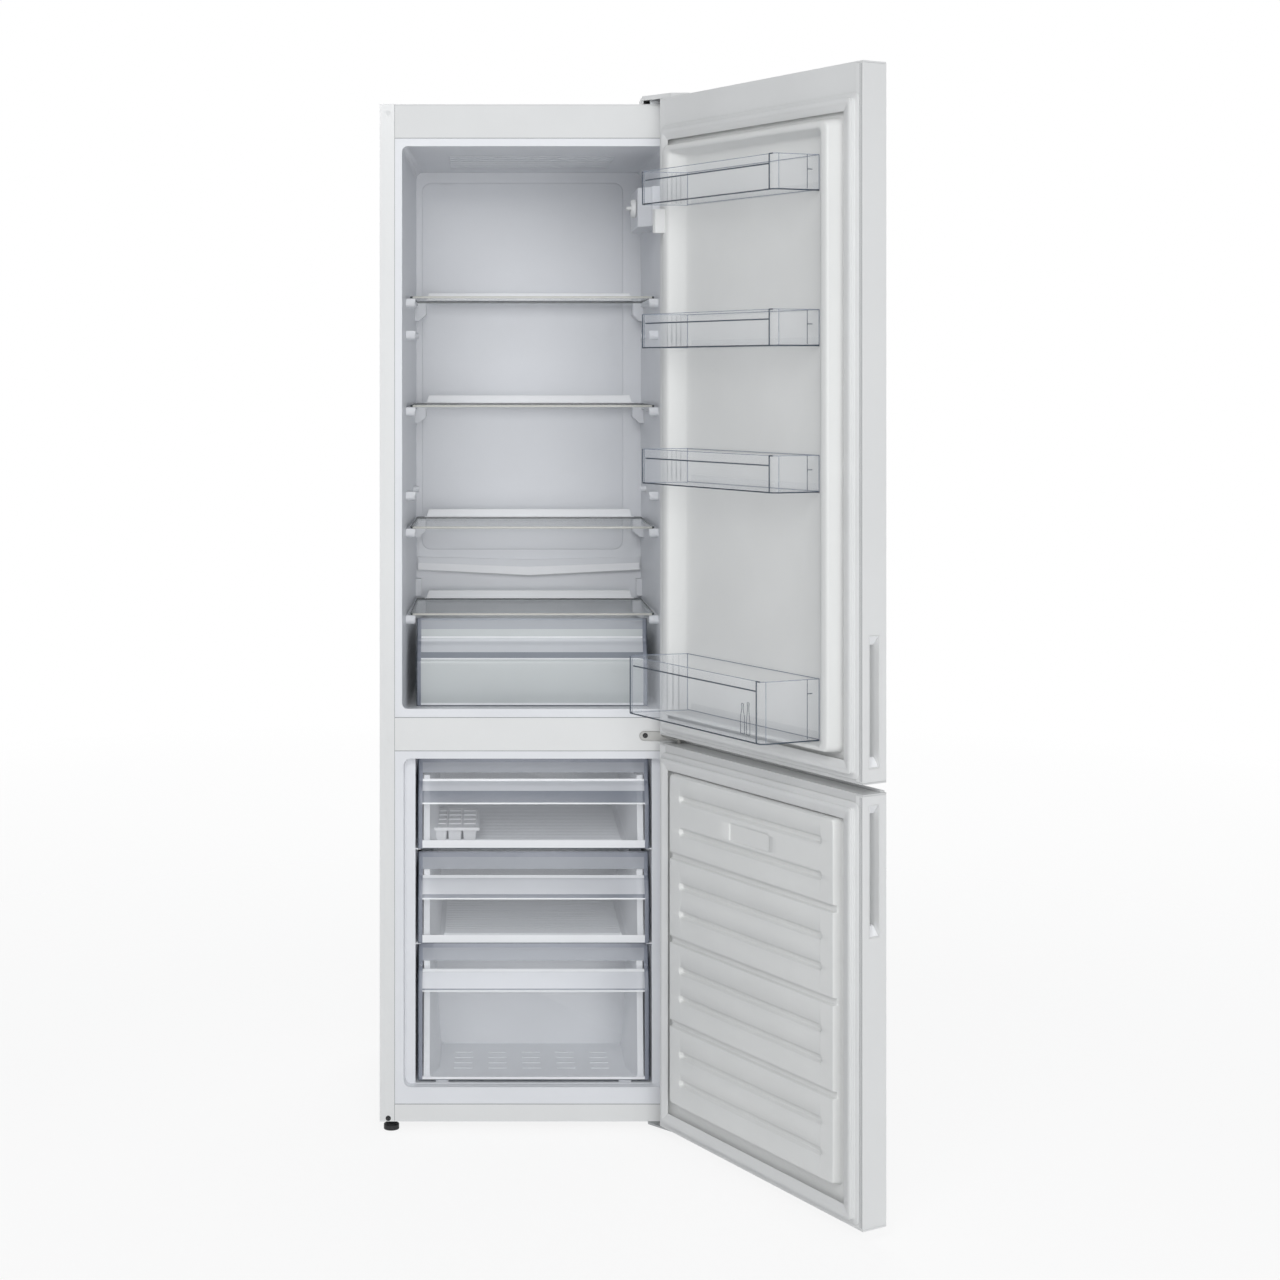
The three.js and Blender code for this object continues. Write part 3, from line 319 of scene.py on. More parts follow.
# Copies a unit in rows: counts and steps across and along.
def rowTree():
    tree, given, real = newTree("rows", across="Int", along="Int", acrossStep="Vector", alongStep="Vector")
    count, column, quotient, row = (addNode(tree, "ShaderNodeMath", operation=kind)
                                    for kind in ("MULTIPLY", "FLOORED_MODULO", "DIVIDE", "FLOOR"))
    shift, rise, total = (addNode(tree, "ShaderNodeVectorMath", operation=kind)
                          for kind in ("SCALE", "SCALE", "ADD"))
    line = addNode(tree, "GeometryNodeMeshLine", {"Offset": (0, 0, 0)})
    index = addNode(tree, "GeometryNodeInputIndex")
    spot = addNode(tree, "GeometryNodeSetPosition")
    copies = addNode(tree, "GeometryNodeInstanceOnPoints")
    wire(tree, (given, "across", count, 0), (given, "along", count, 1), (count, 0, line, "Count"),
         (index, 0, column, 0), (given, "across", column, 1), (index, 0, quotient, 0),
         (given, "across", quotient, 1), (quotient, 0, row, 0), (given, "acrossStep", shift, 0),
         (column, 0, shift, "Scale"), (given, "alongStep", rise, 0), (row, 0, rise, "Scale"),
         (shift, 0, total, 0), (rise, 0, total, 1), (line, "Mesh", spot, "Geometry"),
         (total, 0, spot, "Offset"), (spot, "Geometry", copies, "Points"),
         (given, "Geometry", copies, "Instance"), (copies, "Instances", real, "Geometry"))
    return tree


# A round tube or wire along a bent path, with its corners rounded.
def tubeTree():
    tree, given, real = newTree("tube", radius="Float", bend="Float")
    path = addNode(tree, "GeometryNodeMeshToCurve")
    turn = addNode(tree, "GeometryNodeFilletCurve")
    if "Mode" in turn.inputs:
        turn.inputs["Mode"].default_value = "Poly"
    else:
        turn.mode = "POLY"
    turn.inputs["Count"].default_value = 6
    turn.inputs["Limit Radius"].default_value = True
    section = addNode(tree, "GeometryNodeCurvePrimitiveCircle", {"Resolution": 10})
    skin = addNode(tree, "GeometryNodeCurveToMesh", {"Fill Caps": True})
    smooth = addNode(tree, "GeometryNodeSetShadeSmooth")
    wire(tree, (given, "Geometry", path, "Mesh"), (path, "Curve", turn, "Curve"),
         (given, "bend", turn, "Radius"), (given, "radius", section, "Radius"),
         (turn, "Curve", skin, "Curve"), (section, "Curve", skin, "Profile Curve"),
         (skin, "Mesh", smooth, "Geometry"), (smooth, "Geometry", real, "Geometry"))
    return tree


rowsTree, pipeTree = rowTree(), tubeTree()


# Runs a geometry tree on a piece with the given inputs and keeps the result as plain mesh.
def driven(piece, tree, **values):
    maker = piece.modifiers.new("maker", "NODES")
    maker.node_group = tree
    for item in tree.interface.items_tree:
        if item.item_type == "SOCKET" and item.in_out == "INPUT" and item.name in values:
            maker[item.identifier] = values[item.name]
    graph = bpy.context.evaluated_depsgraph_get()
    plain = bpy.data.meshes.new_from_object(piece.evaluated_get(graph))
    piece.modifiers.clear()
    piece.data = plain


def settle(piece, body, replaced=()):
    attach(piece, body)
    if replaced:
        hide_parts(*replaced)


# Turns a drawing into a finished piece that rides on a body. With rows, which are pairs of a count and a
# step, the drawing is a unit that the geometry tree copies.
def made(name, grid, finishes, body="cabinet", place=fromCabinet, replaced=(), soften=0.0, segments=2,
         angle=30, rows=()):
    if not rows:
        bmesh.ops.remove_doubles(grid, verts=grid.verts, dist=0.005)
    bmesh.ops.recalc_face_normals(grid, faces=grid.faces)
    bmesh.ops.transform(grid, matrix=place, verts=grid.verts)
    data = bpy.data.meshes.new(name)
    grid.to_mesh(data)
    grid.free()
    finishes = [materials[finish] for finish in finishes.split()]
    for finish in finishes:
        data.materials.append(finish)
    piece = placed(name, data)
    data.shade_smooth()
    data.set_sharp_from_angle(angle=math.radians(angle))
    if soften:
        bevel(piece, soften, segments, angle)
    if rows:
        (across, acrossStep), (along, alongStep) = (*rows, (1, (0, 0, 0)))[:2]
        turn = place.to_3x3()
        driven(piece, rowsTree, across=across, along=along, acrossStep=turn @ Vector(acrossStep),
               alongStep=turn @ Vector(alongStep), finish=finishes[0])
    settle(piece, body, replaced)


# Tubes or wires of one thickness along paths.
def pipes(name, paths, radius, bend, finish, body="cabinet", place=fromCabinet, replaced=()):
    points, joints = [], []
    for path in paths:
        start = len(points)
        points += [place @ Vector(point) for point in path]
        joints += [(start + step, start + step + 1) for step in range(len(path) - 1)]
    data = bpy.data.meshes.new(name)
    data.from_pydata(points, joints, [])
    data.materials.append(materials[finish])
    piece = placed(name, data)
    driven(piece, pipeTree, radius=radius * mm, bend=bend * mm, finish=materials[finish])
    settle(piece, body, replaced)


print("tools done")


# Clear bins of the upper door, with dark lines of painted shade along their edges, where the clear walls are
# seen edge-on. Places are low, high and front.
binShape = {"wall": 2.4, "lipHigh": 16, "lipDeep": 1.4, "rearLip": 14, "ribCount": 4, "ribStep": 0.11,
            "ribDeep": 2.6, "ribWide": 0.9, "line": 1.15, "rim": 0.6, "bend": 1.2}
binPlaces = {"door_bin_1": (1612, 1669, 73), "door_bin_2": (1370, 1428, 73), "door_bin_3": (1142, 1201, 73),
             "bottle_rack": (755.5, 853, 98)}


def binOutline(front, lip=0.0):
    return [(179, -6), (206, front - 8), (200, front), (190, front), (189.2, front - lip),
            (-147.2, front - lip), (-148, front), (-157, front), (-163, front - 8), (-174, -6)]


# Walls open at the door's side, a floor between them and a low lip at its back.
def binShell(name, low, high, front):
    wall, lipLow = binShape["wall"], high - binShape["lipHigh"]
    outer, stepped = binOutline(front), binOutline(front, binShape["lipDeep"])
    inner, doorY = inset(outer, wall), outer[0][1]
    lining = [(inner[-1][0], doorY)] + inner[-2:0:-1] + [(inner[0][0], doorY)]
    grid = loft([flat(outer + lining, low + 3), flat(outer + lining, lipLow), flat(stepped + lining, lipLow),
                 flat(stepped + lining, high)])
    loft([flat(inset(outer, 1.2), low), flat(inset(outer, 0.05), low + 3.05)], grid)
    bars([((inner[-1][0] + 0.2, inner[0][0] - 0.2), (doorY - 2.2, doorY - 0.4),
           (low + wall, low + binShape["rearLip"]))], grid)
    made(name + "_shell", grid, "clearPlastic", name, fromDoor, [name], angle=25)


# Lines of painted shade along the clear edges. The strong lines: foot, step under the lip, corner posts. The
# rim and rear ends are fainter.
def binLines(name, low, high, front):
    line, bend = binShape["line"], binShape["bend"]
    foot, rim, step = low + line, high - 0.7, high - binShape["lipHigh"]
    outline = inset(binOutline(front), 0.7)
    end, near, corner, post = outline[:4]
    farPost, farCorner, far, farEnd = outline[6:]

    def rise(point):
        return [(*point, foot), (*point, rim)]

    strong = [flat(outline[1:4] + outline[6:], foot), flat([post, farPost], step), rise(corner),
              rise(farPost), flat([farPost, farCorner], rim)]
    pipes(name + "_lines", strong, line, bend, "clearEdge", name, fromDoor)
    closed = inset(binOutline(front, binShape["lipDeep"]), 0.8)
    faint = [flat(closed + closed[:1], rim), rise(end), rise(farEnd), rise(far), rise(near),
             flat([farCorner, far], rim), flat([farEnd, end], foot + 1), flat([end, near], foot)]
    pipes(name + "_rim", faint, binShape["rim"], bend, "clearRim", name, fromDoor)


# Ribs stiffen the hinge-side wall where it meets the door, and a catch stands on the free side.
def binRibs(name, low, high, front):
    start, foot = Vector((203, front - 11)), low + binShape["wall"] + 1
    way = Vector((176, -3)) - start
    deep = Vector((way.y, -way.x)).normalized() * binShape["ribDeep"]
    wide, here = way.normalized() * binShape["ribWide"], start + way * 0.5
    corners = [here, here + wide, here + wide + deep, here + deep]
    made(name + "_ribs", loft([flat(corners, foot), flat(corners, high - 2)]), "clearMist", name, fromDoor,
         rows=[(binShape["ribCount"], (*(way * binShape["ribStep"]), 0))])
    # The catch is drawn in the dark edge look, as painted shade.
    catch = [((-168.2, -167.2), (13, 14), (foot, high - 1)),
             ((-168.6, -166.9), (4, 13), (high - 24, high - 22.6))]
    made(name + "_catch", bars(catch), "clearEdge", name, fromDoor, soften=0.25)


for binName, binPlace in binPlaces.items():
    for binPart in (binShell, binLines, binRibs):
        binPart(binName, *binPlace)

# Two bottles outlined on the rack's front show what it is for: middle, height, half width and shoulder.
bottleMark = {"low": 767, "line": 0.4, "y": 98.2, "bottles": [(-128.5, 50, 4.4, 20), (-114, 47, 5.2, 26)]}


def bottlePath(middle, tall, half, shoulder):
    side = [(0, 0), (half, 0), (half, shoulder), (1.8, shoulder + (tall - shoulder) * 0.6), (1.8, tall - 3),
            (2.5, tall - 3), (2.5, tall), (0, tall)]
    outline = side + [(-x, z) for x, z in side[-2::-1]]
    return upright([(middle + x, bottleMark["low"] + z) for x, z in outline], bottleMark["y"])


pipes("bottle_marks", [bottlePath(*bottle) for bottle in bottleMark["bottles"]], bottleMark["line"],
      binShape["bend"], "clearEdge", "bottle_rack", fromDoor)
print("bins done")


# Drawers: a clear bent front over a pale tub with sloping walls, side rails and a ribbed floor. Bands are
# drops from the front's top, where its zones meet; most zones are bands of painted shade, painted reflection
# and painted highlight.
drawerShape = {"front": 2.5, "bend": 3.5, "ribHigh": 1.4, "ribPitch": 13, "margin": 8, "line": 2.4,
               "footLine": 1.6, "floor": 2.3}
freezerDrawer = {"half": 203.6, "y": 14, "length": 388, "tub": "drawerTub", "floorHalf": 162, "foot": 15,
                 "plate": "clearMist"}
drawerPlaces = {
    "freezer_drawer_1": {**freezerDrawer, "low": 492, "high": 648.8, "bands": (9, 27, 38, 42, 57, 76)},
    "freezer_drawer_2": {**freezerDrawer, "low": 325.5, "high": 482.3, "bands": (10, 31, 42, 46, 71, 77)},
    "freezer_drawer_3": {**freezerDrawer, "low": 85, "high": 322, "bands": (10, 33, 46, 50, 76, 79),
                         "length": 210, "foot": 6, "plate": "clearDrawer"},
    "crisper_drawer": {"half": 209.2, "y": 123, "low": 726.2, "high": 882.6, "length": 262,
                       "bands": (4, 20, 33, 36, 60, 70), "tub": "frostedTub", "floorHalf": 174, "foot": 6,
                       "plate": "milkyFront"},
}


# A path with its corners turned in small arcs.
def softened(points, radius, steps=4):
    path = [points[0]]
    for before, here, after in zip(points, points[1:], points[2:]):
        a, b, c = Vector(before), Vector(here), Vector(after)
        reach = min(radius, (a - b).length / 2.2, (c - b).length / 2.2)
        one, two = b + (a - b).normalized() * reach, b + (c - b).normalized() * reach
        for step in range(steps + 1):
            t = step / steps
            path.append(tuple(one * (1 - t) ** 2 + b * (2 * t * (1 - t)) + two * t ** 2))
    return path + [points[-1]]


# The front from its foot up: plate, slope, ledge and set-back band, as pairs of depth and height.
def frontPath(shape):
    y, low, high = shape["y"], shape["low"], shape["high"]
    corners = [(y + 1.5, low), (y, low + 1.5), (y, high - 78), (y + 16, high - 48), (y + 24, high - 42),
               (y + 24, high - 2), (y + 22.6, high)]
    return softened(corners, drawerShape["bend"])


def depthAt(path, height):
    for (y0, z0), (y1, z1) in zip(path, path[1:]):
        if z0 <= height <= z1:
            return y0 + (y1 - y0) * (height - z0) / (z1 - z0) if z1 > z0 else y1
    return path[-1][0]


def drawerFront(name, shape):
    low, high, half, thick = shape["low"], shape["high"], shape["half"], drawerShape["front"]
    finishes = [shape["plate"], "clearEdge", "clearMargin", "clearShade", "clearPale", "clearBright",
                "clearHead"]
    plate, edge, dim, shade, pale, highlight, head = range(len(finishes))
    # Zones down the front: margin, a head band of painted shade, plate, a line of painted highlight, a band
    # of painted reflection, a band of painted shade, a line of painted highlight, plate, a band of painted
    # highlight and a dark foot line of painted shade.
    cuts = [high - drop for drop in shape["bands"]]
    cuts += [cuts[-1] - drawerShape["line"], low + shape["foot"], low + drawerShape["footLine"]]
    zones = list(zip(cuts, (dim, head, plate, highlight, pale, shade, highlight, plate, highlight)))
    path = frontPath(shape)
    path = sorted(path + [(depthAt(path, z), z) for z in cuts], key=lambda point: point[1])
    profile = path + [(a + thick, b) for a, b in reversed(path)]
    outside = len(path) - 1

    def bandFinish(step, side):
        if step != 2 or side >= outside:
            return dim if step in (1, 3) and side < outside else plate if step == 2 else edge
        z = (path[side][1] + path[side + 1][1]) / 2
        return next((finish for above, finish in zones if z > above), edge)

    inner = half - drawerShape["margin"]
    rings = []
    for x, shrink in [(-half, 1.2), (1.5 - half, 0), (-inner, 0), (inner, 0), (half - 1.5, 0), (half, 1.2)]:
        rings.append([Vector((x, a + (shrink if index <= outside else -shrink * 0.4), b))
                      for index, (a, b) in enumerate(profile)])
    made(name + "_front", loft(rings, finish=bandFinish), " ".join(finishes), name, replaced=[name], angle=40)


# The tub has upright strips right behind its front, sloping walls behind them, a rim to slide a hand
# under and a foot that runs on the rails.
def drawerTub(name, shape):
    low, high, half = shape["low"], shape["high"], shape["half"]
    back, floorHalf = shape["y"] + shape["length"], shape["floorHalf"]
    top, path, thick = high - 32, frontPath(shape), drawerShape["front"]

    def section(foot, neck, rim, lip, bend, floor):
        side = [(foot, low + 0.1), (foot, low + 5), (neck, low + 7), (neck, top - 8), (rim, top - 6),
                (rim, top - 0.6), (rim - 0.8, top), (lip, top), (lip - 1, top - 2), (bend, low + 10),
                (bend - 2, low + 5), (floor, low + 2.4)]
        return side + [(-x, z) for x, z in reversed(side)]

    def behind(outline, gap):
        return [Vector((x, depthAt(path, z) + thick + gap, z)) for x, z in outline]

    strip = section(half - 0.2, half - 10, half - 10, half - 20, half - 21, half - 30)
    wall = section(half - 0.2, half - 10, half - 0.6, half - 24, floorHalf + 5, floorHalf - 3)
    grid = loft([behind(strip, 0.3), behind(strip, 3.5), upright(wall, shape["y"] + 56),
                 upright(wall, back - 6)])
    made(name + "_tub", grid, shape["tub"], name, soften=0.6, angle=24)
    plate = rounded(half - 4, low + 0.6, top - 0.2, 9)
    rings = [upright(inset(plate, shrink) if shrink else plate, back - drop)
             for shrink, drop in ((6, 9), (2, 6.5), (0, 6), (0, 1.6), (1.6, 0))]
    made(name + "_back", loft(rings), shape["tub"], name, soften=0.5, angle=40)


# The floor's ribs run across it behind a raised front edge.
def drawerFloor(name, shape):
    low, y, half = shape["low"] + drawerShape["floor"], shape["y"], shape["floorHalf"] - 4
    outline = [(y + 44, low), (y + 46.5, low + 4.6), (y + 50, low + 5), (y + 56, low)]
    made(name + "_floor_edge", loft([cross(outline, -half), cross(outline, half)]), shape["tub"], name,
         soften=0.7, segments=3)
    pitch, high, start = drawerShape["ribPitch"], low + drawerShape["ribHigh"], y + 62
    outline = [(start - 3.6, low), (start - 1.6, high), (start + 1.6, high), (start + 3.6, low)]
    made(name + "_floor_ribs", loft([cross(outline, 1 - half), cross(outline, half - 1)]), shape["tub"], name,
         rows=[(int((shape["length"] - 76) / pitch), (0, pitch, 0))])


for drawerName, drawer in drawerPlaces.items():
    drawerFront(drawerName, drawer)
    drawerTub(drawerName, drawer)
for drawerName in ("freezer_drawer_1", "freezer_drawer_2"):
    drawerFloor(drawerName, drawerPlaces[drawerName])

# The third drawer's floor has short raised dashes, and the crisper's two upright ribs on its back.
thirdLow = drawerPlaces["freezer_drawer_3"]["low"] + drawerShape["floor"]
made("freezer_drawer_3_dashes", bars([((-140, -108), (72, 74.6), (thirdLow, thirdLow + 1.1))]), "drawerTub",
     "freezer_drawer_3", rows=[(5, (61, 0, 0)), (4, (0, 30, 0))], soften=0.4)
made("crisper_back_ribs", bars([((x, x + 9), (375, 378.2), (731, 765)) for x in (-115, 105)]), "frostedTub",
     "crisper_drawer", soften=0.8, segments=3)
print("drawers done")


# Ice cube tray: rows of tapered cups in a flat rim with a turned-down edge and a raised tab. Its white is
# partly the tray's own white plastic and partly painted light.
iceTray = {"left": -182.5, "right": -95.5, "front": 48, "back": 226, "low": 494.6, "high": 522,
           "across": 3, "along": 4, "pitchX": 26.33, "pitchY": 38, "rim": 4}


def iceCubeTray(left, right, front, back, low, high, across, along, pitchX, pitchY, rim):
    halfX, halfY = pitchX / 2, pitchY / 2
    x, y = left + rim + halfX, front + rim + halfY

    def ring(dx, dy, z, corner):
        return [Vector((x + a, y + b, z)) for a, b in rounded(halfX - dx, dy - halfY, halfY - dy, corner, 3)]

    cup = loft([ring(0, 0, high - 2, 0.02), ring(0, 0, high, 0.02), ring(1, 1, high, 3),
                ring(1.8, 1.8, high - 1, 3), ring(2.2, 2.4, high - 4, 3.4), ring(3.4, 4.4, low + 5, 4),
                ring(5.4, 6.4, low + 1.4, 3)], caps=False)
    loft([ring(5.4, 6.4, low + 1.4, 3), ring(9, 10, low + 1.2, 2)], cup)
    loft([ring(0, 0, high - 2, 0.02), ring(0.5, 0.7, high - 2, 3), ring(2.2, 3.2, low + 5, 4),
          ring(4, 5.2, low, 3)], cup)
    bmesh.ops.remove_doubles(cup, verts=cup.verts, dist=0.01)
    made("ice_cups", cup, "brightPlastic", "ice_cube_tray",
         rows=[(across, (pitchX, 0, 0)), (along, (0, pitchY, 0))])
    inside, length = (left + 4, right - 4), (front, back)
    flange, edge = (high - 2, high + 0.05), (high - 5, high)
    made("ice_tray_rim", bars([
        ((left, left + 4.05), length, flange), ((right - 4.05, right), length, flange),
        (inside, (front, front + 4.05), flange),
        (inside, (front + rim + along * pitchY - 0.05, back), flange),
        ((left, left + 1.2), length, edge), ((right - 1.2, right), length, edge),
        ((left, right), (front, front + 1.2), edge),
        ((left + 30, right - 30), (back - 14, back - 5), (high, high + 0.8)),
    ]), "brightPlastic", "ice_cube_tray", replaced=["ice_cube_tray"], soften=0.5)


iceCubeTray(**iceTray)
print("ice tray done")


# Glass shelves: a pale front edge, dark side and rear edges, and a white bar along the back of each.
shelfTops = (1467.2, 1270.9, 1051.8, 895.3)
shelfShape = {"glass": 4, "front": 113, "back": 385, "frontHalf": 220.57, "backHalf": 216.6, "corner": 9,
              "barHalf": 198, "barHigh": 15, "barSlant": 5}


def glassShelf(name, top, glass, front, back, frontHalf, backHalf, corner, barHalf, barHigh, barSlant):
    arc = [(math.sin(a) * corner, corner - math.cos(a) * corner)
           for a in (math.radians(15 * step) for step in range(7))]
    plan = [(frontHalf - corner + x, front + y) for x, y in arc]
    plan += [(backHalf, back - 2), (backHalf - 2, back)]
    plan += [(-x, y) for x, y in reversed(plan)]
    low, last = top - glass, len(plan) - 1
    near = (0, 1, last - 2, last - 1, last)
    rings = [flat(inset(plan, 0.7), low), flat(plan, low + 0.7), flat(plan, top - 0.7),
             flat(inset(plan, 0.7), top)]
    made(name + "_plate", loft(rings, finish=lambda step, side: 1 if side in near else 2),
         "shelfGlass glassFront glassEdge", name, replaced=[name], angle=35)
    foot, slanted = top + 0.05, barHalf - barSlant
    outline = [(-barHalf, foot), (barHalf, foot), (slanted, top + barHigh), (-slanted, top + barHigh)]
    grid = loft([upright(outline, back - 10), upright(outline, back - 1)])
    bars([((-barHalf - 3, barHalf + 3), (back - 14, back - 0.6), (foot, top + 1.6))], grid)
    made(name + "_bar", grid, "brightPlastic", name, soften=0.9, segments=3)


for shelfIndex, shelfTop in enumerate(shelfTops, 1):
    glassShelf(f"glass_shelf_{shelfIndex}", shelfTop, **shelfShape)
print("shelves done")


# Door seals: one closed section with a bellows fold, a soft magnet bead and an inner fin, led round the
# door. The section is pairs of the distance inwards from the foot's edge and the depth.
sealShape = {"footHalf": 262, "corner": 9,
             "section": [(0.4, -11.7), (0, -10.6), (0.8, -9.9), (4, -9.3), (7.2, -9.0), (8.6, -7.6),
                         (7.9, -6.0), (8.8, -4.4), (8.2, -2.6), (8.3, -1.2), (9.4, -0.35), (14.8, -0.35),
                         (16.6, -1.1), (19, -2.2), (26.8, -3.2), (27.4, -3.8), (26.8, -4.3), (18.6, -3.6),
                         (16.6, -5.2), (16.9, -9), (17, -11.7)]}
for doorName, low, high in (("upper_door", 708, 1757), ("lower_door", 28, 673)):
    rings = [upright(rounded(sealShape["footHalf"] - d, low + d, high - d,
                             max(1.5, sealShape["corner"] - d * 0.4), 3), y) for d, y in sealShape["section"]]
    made(doorName + "_seal_gasket", loft(rings, looped=True), "sealRubber", doorName, fromDoor,
         [doorName + "_seal"], angle=50)
print("seals done")


# Upper door's inner face, drawn by air into one soft-edged sheet: flat rim, raised ring, shallow dish.
# Rings are half width, low, high, corner and depth.
doorFaceRings = [
    (253.2, 708, 1757, 2, -13.2), (253.2, 708, 1757, 2, -12), (230, 742.8, 1725, 14, -12),
    (227.9, 744, 1722.9, 13, -11.3), (226, 744.2, 1721, 12, -9), (222, 745.8, 1717, 12, 14.5),
    (220.8, 746.6, 1715.6, 12, 17.2), (218, 748.6, 1713, 11, 18), (207.4, 751.8, 1709.2, 10, 18),
    (204.4, 752.8, 1706.4, 9, 17), (202.4, 753.4, 1705.2, 8, 14.5), (186, 755, 1698.8, 6, -4.6),
    (179, 755.6, 1697.2, 5, -5.8), (168, 757.2, 1696, 5, -6.5), (150, 758.2, 1695, 5, -6.85),
    (124, 759.2, 1694, 5, -7)]
made("upper_door_face", loft([upright(rounded(*ring, 5), y) for *ring, y in doorFaceRings]), "doorPlastic",
     "upper_door", fromDoor, ["upper_door_liner"], angle=60)

# The lug that presses the lamp switch.
lug = {"outline": [(212, 17), (216, 35), (225, 35), (226, 24), (221, 10), (212, 10)], "ends": (1567, 1608)}
made("switch_lug", loft([flat(lug["outline"], end) for end in lug["ends"]]), "whitePlastic", "upper_door",
     fromDoor, soften=1.2, segments=3)
print("upper door face done")


# Lower door's inner face: a raised panel with soft grooves and channels sunk in it, and a plain sunk
# plaque. The sheet's height is worked out at every crossing of the lines that the forms need.
panelFace = {"rimHalf": 253.2, "low": 28, "high": 673, "rim": -12, "face": 4, "half": 222, "panelLow": 78,
             "panelHigh": 645, "grooveHalf": 191, "grooveTall": 7.6, "sunk": 7, "channelTall": 6.5,
             "plaque": (-58, 49, 560, 590), "plaqueSunk": 2.4}
# The lines' distances inwards from an edge of the panel, of a groove's end and of the plaque, and to both
# sides of a groove's and a channel's middle.
panelLines = {"edge": (-1.5, -0.5, 0.4, 1.2, 2, 3, 4.2, 6, 9), "plaque": (-0.3, 0.4, 0.9, 1.6, 3.2),
              "end": (-0.5, 0.6, 1.4, 2.4, 3.4, 4.4, 5.4, 7, 10, 14), "channel": (0, 4.6, 5.2, 5.8, 6.3, 6.9),
              "groove": (0, 1.2, 2.4, 3.4, 4.4, 5.4, 6.4, 7.4)}


def ease(value, start, end):
    t = min(1, max(0, (value - start) / (end - start)))
    return t * t * (3 - 2 * t)


# How far a point lies inside a rectangle with round corners.
def insideBy(x, z, half, low, high, corner, middle=0.0):
    dx = abs(x - middle) - (half - corner)
    dz = abs(z - (low + high) / 2) - ((high - low) / 2 - corner)
    outside = math.hypot(max(dx, 0), max(dz, 0))
    return corner - outside - min(max(dx, dz), 0)


def inwards(low, high, kind):
    return {low + step for step in panelLines[kind]} | {high - step for step in panelLines[kind]}


def lowerDoorFace(rimHalf, low, high, rim, face, half, panelLow, panelHigh, grooveHalf, grooveTall, sunk,
                  channelTall, plaque, plaqueSunk):
    # Bands as pairs of height and kind: every third is a channel from side to side.
    lowest, top = panelLow + 44.5, panelHigh - 140.5
    bands = [(top + 44.5, False), (top + 100.5, False)]
    bands += [(lowest + (top - lowest) * step / 8, step % 3 == 2) for step in range(9)]
    left, right, plaqueLow, plaqueHigh = plaque

    def faceHeight(x, z):
        base = rim + (face - rim) * ease(insideBy(x, z, half, panelLow, panelHigh, 8), -1, 4.5)
        deep = 0.0
        for height, channel in bands:
            if abs(z - height) > 9:
                continue
            inside = insideBy(x, z, grooveHalf, height - grooveTall, height + grooveTall, 6)
            deep = sunk * (ease(channelTall - abs(z - height), 0, 1.7) if channel else ease(inside, 0, 4.4))
        inside = insideBy(x, z, (right - left) / 2, plaqueLow, plaqueHigh, 3, (left + right) / 2)
        return min(base, face - max(deep, plaqueSunk * ease(inside, 0, 1.2)))

    zs = {low, high, (panelLow + panelHigh) / 2} | inwards(panelLow, panelHigh, "edge")
    zs |= inwards(plaqueLow, plaqueHigh, "plaque")
    for height, channel in bands:
        zs |= inwards(height, height, "channel" if channel else "groove")
    xs = {0.0, 80.0, -80.0, 130.0, -130.0, 240.0, -240.0, rimHalf, -rimHalf} | inwards(-half, half, "edge")
    xs |= inwards(-grooveHalf, grooveHalf, "end") | inwards(left, right, "plaque")
    columns, rows = sorted(xs), sorted(zs)
    grid = bmesh.new()
    field = [[grid.verts.new((x, faceHeight(x, z), z)) for x in columns] for z in rows]
    for one, two in zip(field, field[1:]):
        for side in range(len(columns) - 1):
            grid.faces.new((one[side], one[side + 1], two[side + 1], two[side]))
    border = (field[0] + [row[-1] for row in field[1:]] + field[-1][-2::-1]
              + [row[0] for row in field[-2:0:-1]])
    behind = [grid.verts.new((vert.co.x, rim - 1.2, vert.co.z)) for vert in border]
    for side in range(len(border)):
        after = (side + 1) % len(border)
        grid.faces.new((border[side], behind[side], behind[after], border[after]))
    grid.faces.new(behind)
    made("lower_door_face", grid, "doorPlastic", "lower_door", fromDoor, ["lower_door_liner"], angle=62)


lowerDoorFace(**panelFace)
print("lower door face done")


# Small moulded details of the liners: the raised field of the fridge's back wall, dashes and ribs.
backPanel = {"half": 196, "middle": -12, "low": 985, "high": 1699, "corner": 18, "y": 424.2, "proud": 1.2}
wallY, proud = backPanel["y"], backPanel["proud"]
outer = rounded(backPanel["half"], backPanel["low"], backPanel["high"], backPanel["corner"], 5,
                backPanel["middle"])
made("back_wall_panel", loft([upright(outer, wallY), upright(inset(outer, 0.8), wallY - 0.9 * proud),
                              upright(inset(outer, 2.2), wallY - proud)]), "linerPlastic", angle=50)
made("back_wall_dashes", bars([((-171, -148), (421.8, 423.2), (1694, 1696.2))]), "linerPlastic",
     rows=[(2, (322, 0, 0))], soften=0.4)
made("ceiling_ribs", bars([((-150, 150), (150, 152.4), (1722.0, 1723.6))]), "linerPlastic",
     rows=[(7, (0, 30, -0.5))], soften=0.5)

# The melt water channel slopes out from the wall and dips in the middle. Its white is lighter than the
# liner's, as painted light.
channelShape = {"half": 215, "low": 935, "dip": 11, "rise": 36, "proud": 12, "y": 424.4, "steps": 8}


def meltChannel(half, low, dip, rise, proud, y, steps):
    rings, front = [], y - proud
    for step in range(-steps, steps + 1):
        share = abs(step) / steps
        foot, head = low + dip * share, low + rise - 5 + 5 * share
        rings.append(cross([(y, head), (y - 1.6, head - 0.6), (front + 1, foot + 4), (front, foot + 1.6),
                            (front + 1.4, foot), (y, foot + 0.4)], half * step / steps))
    made("melt_channel", loft(rings), "brightPlastic", angle=40)


meltChannel(**channelShape)

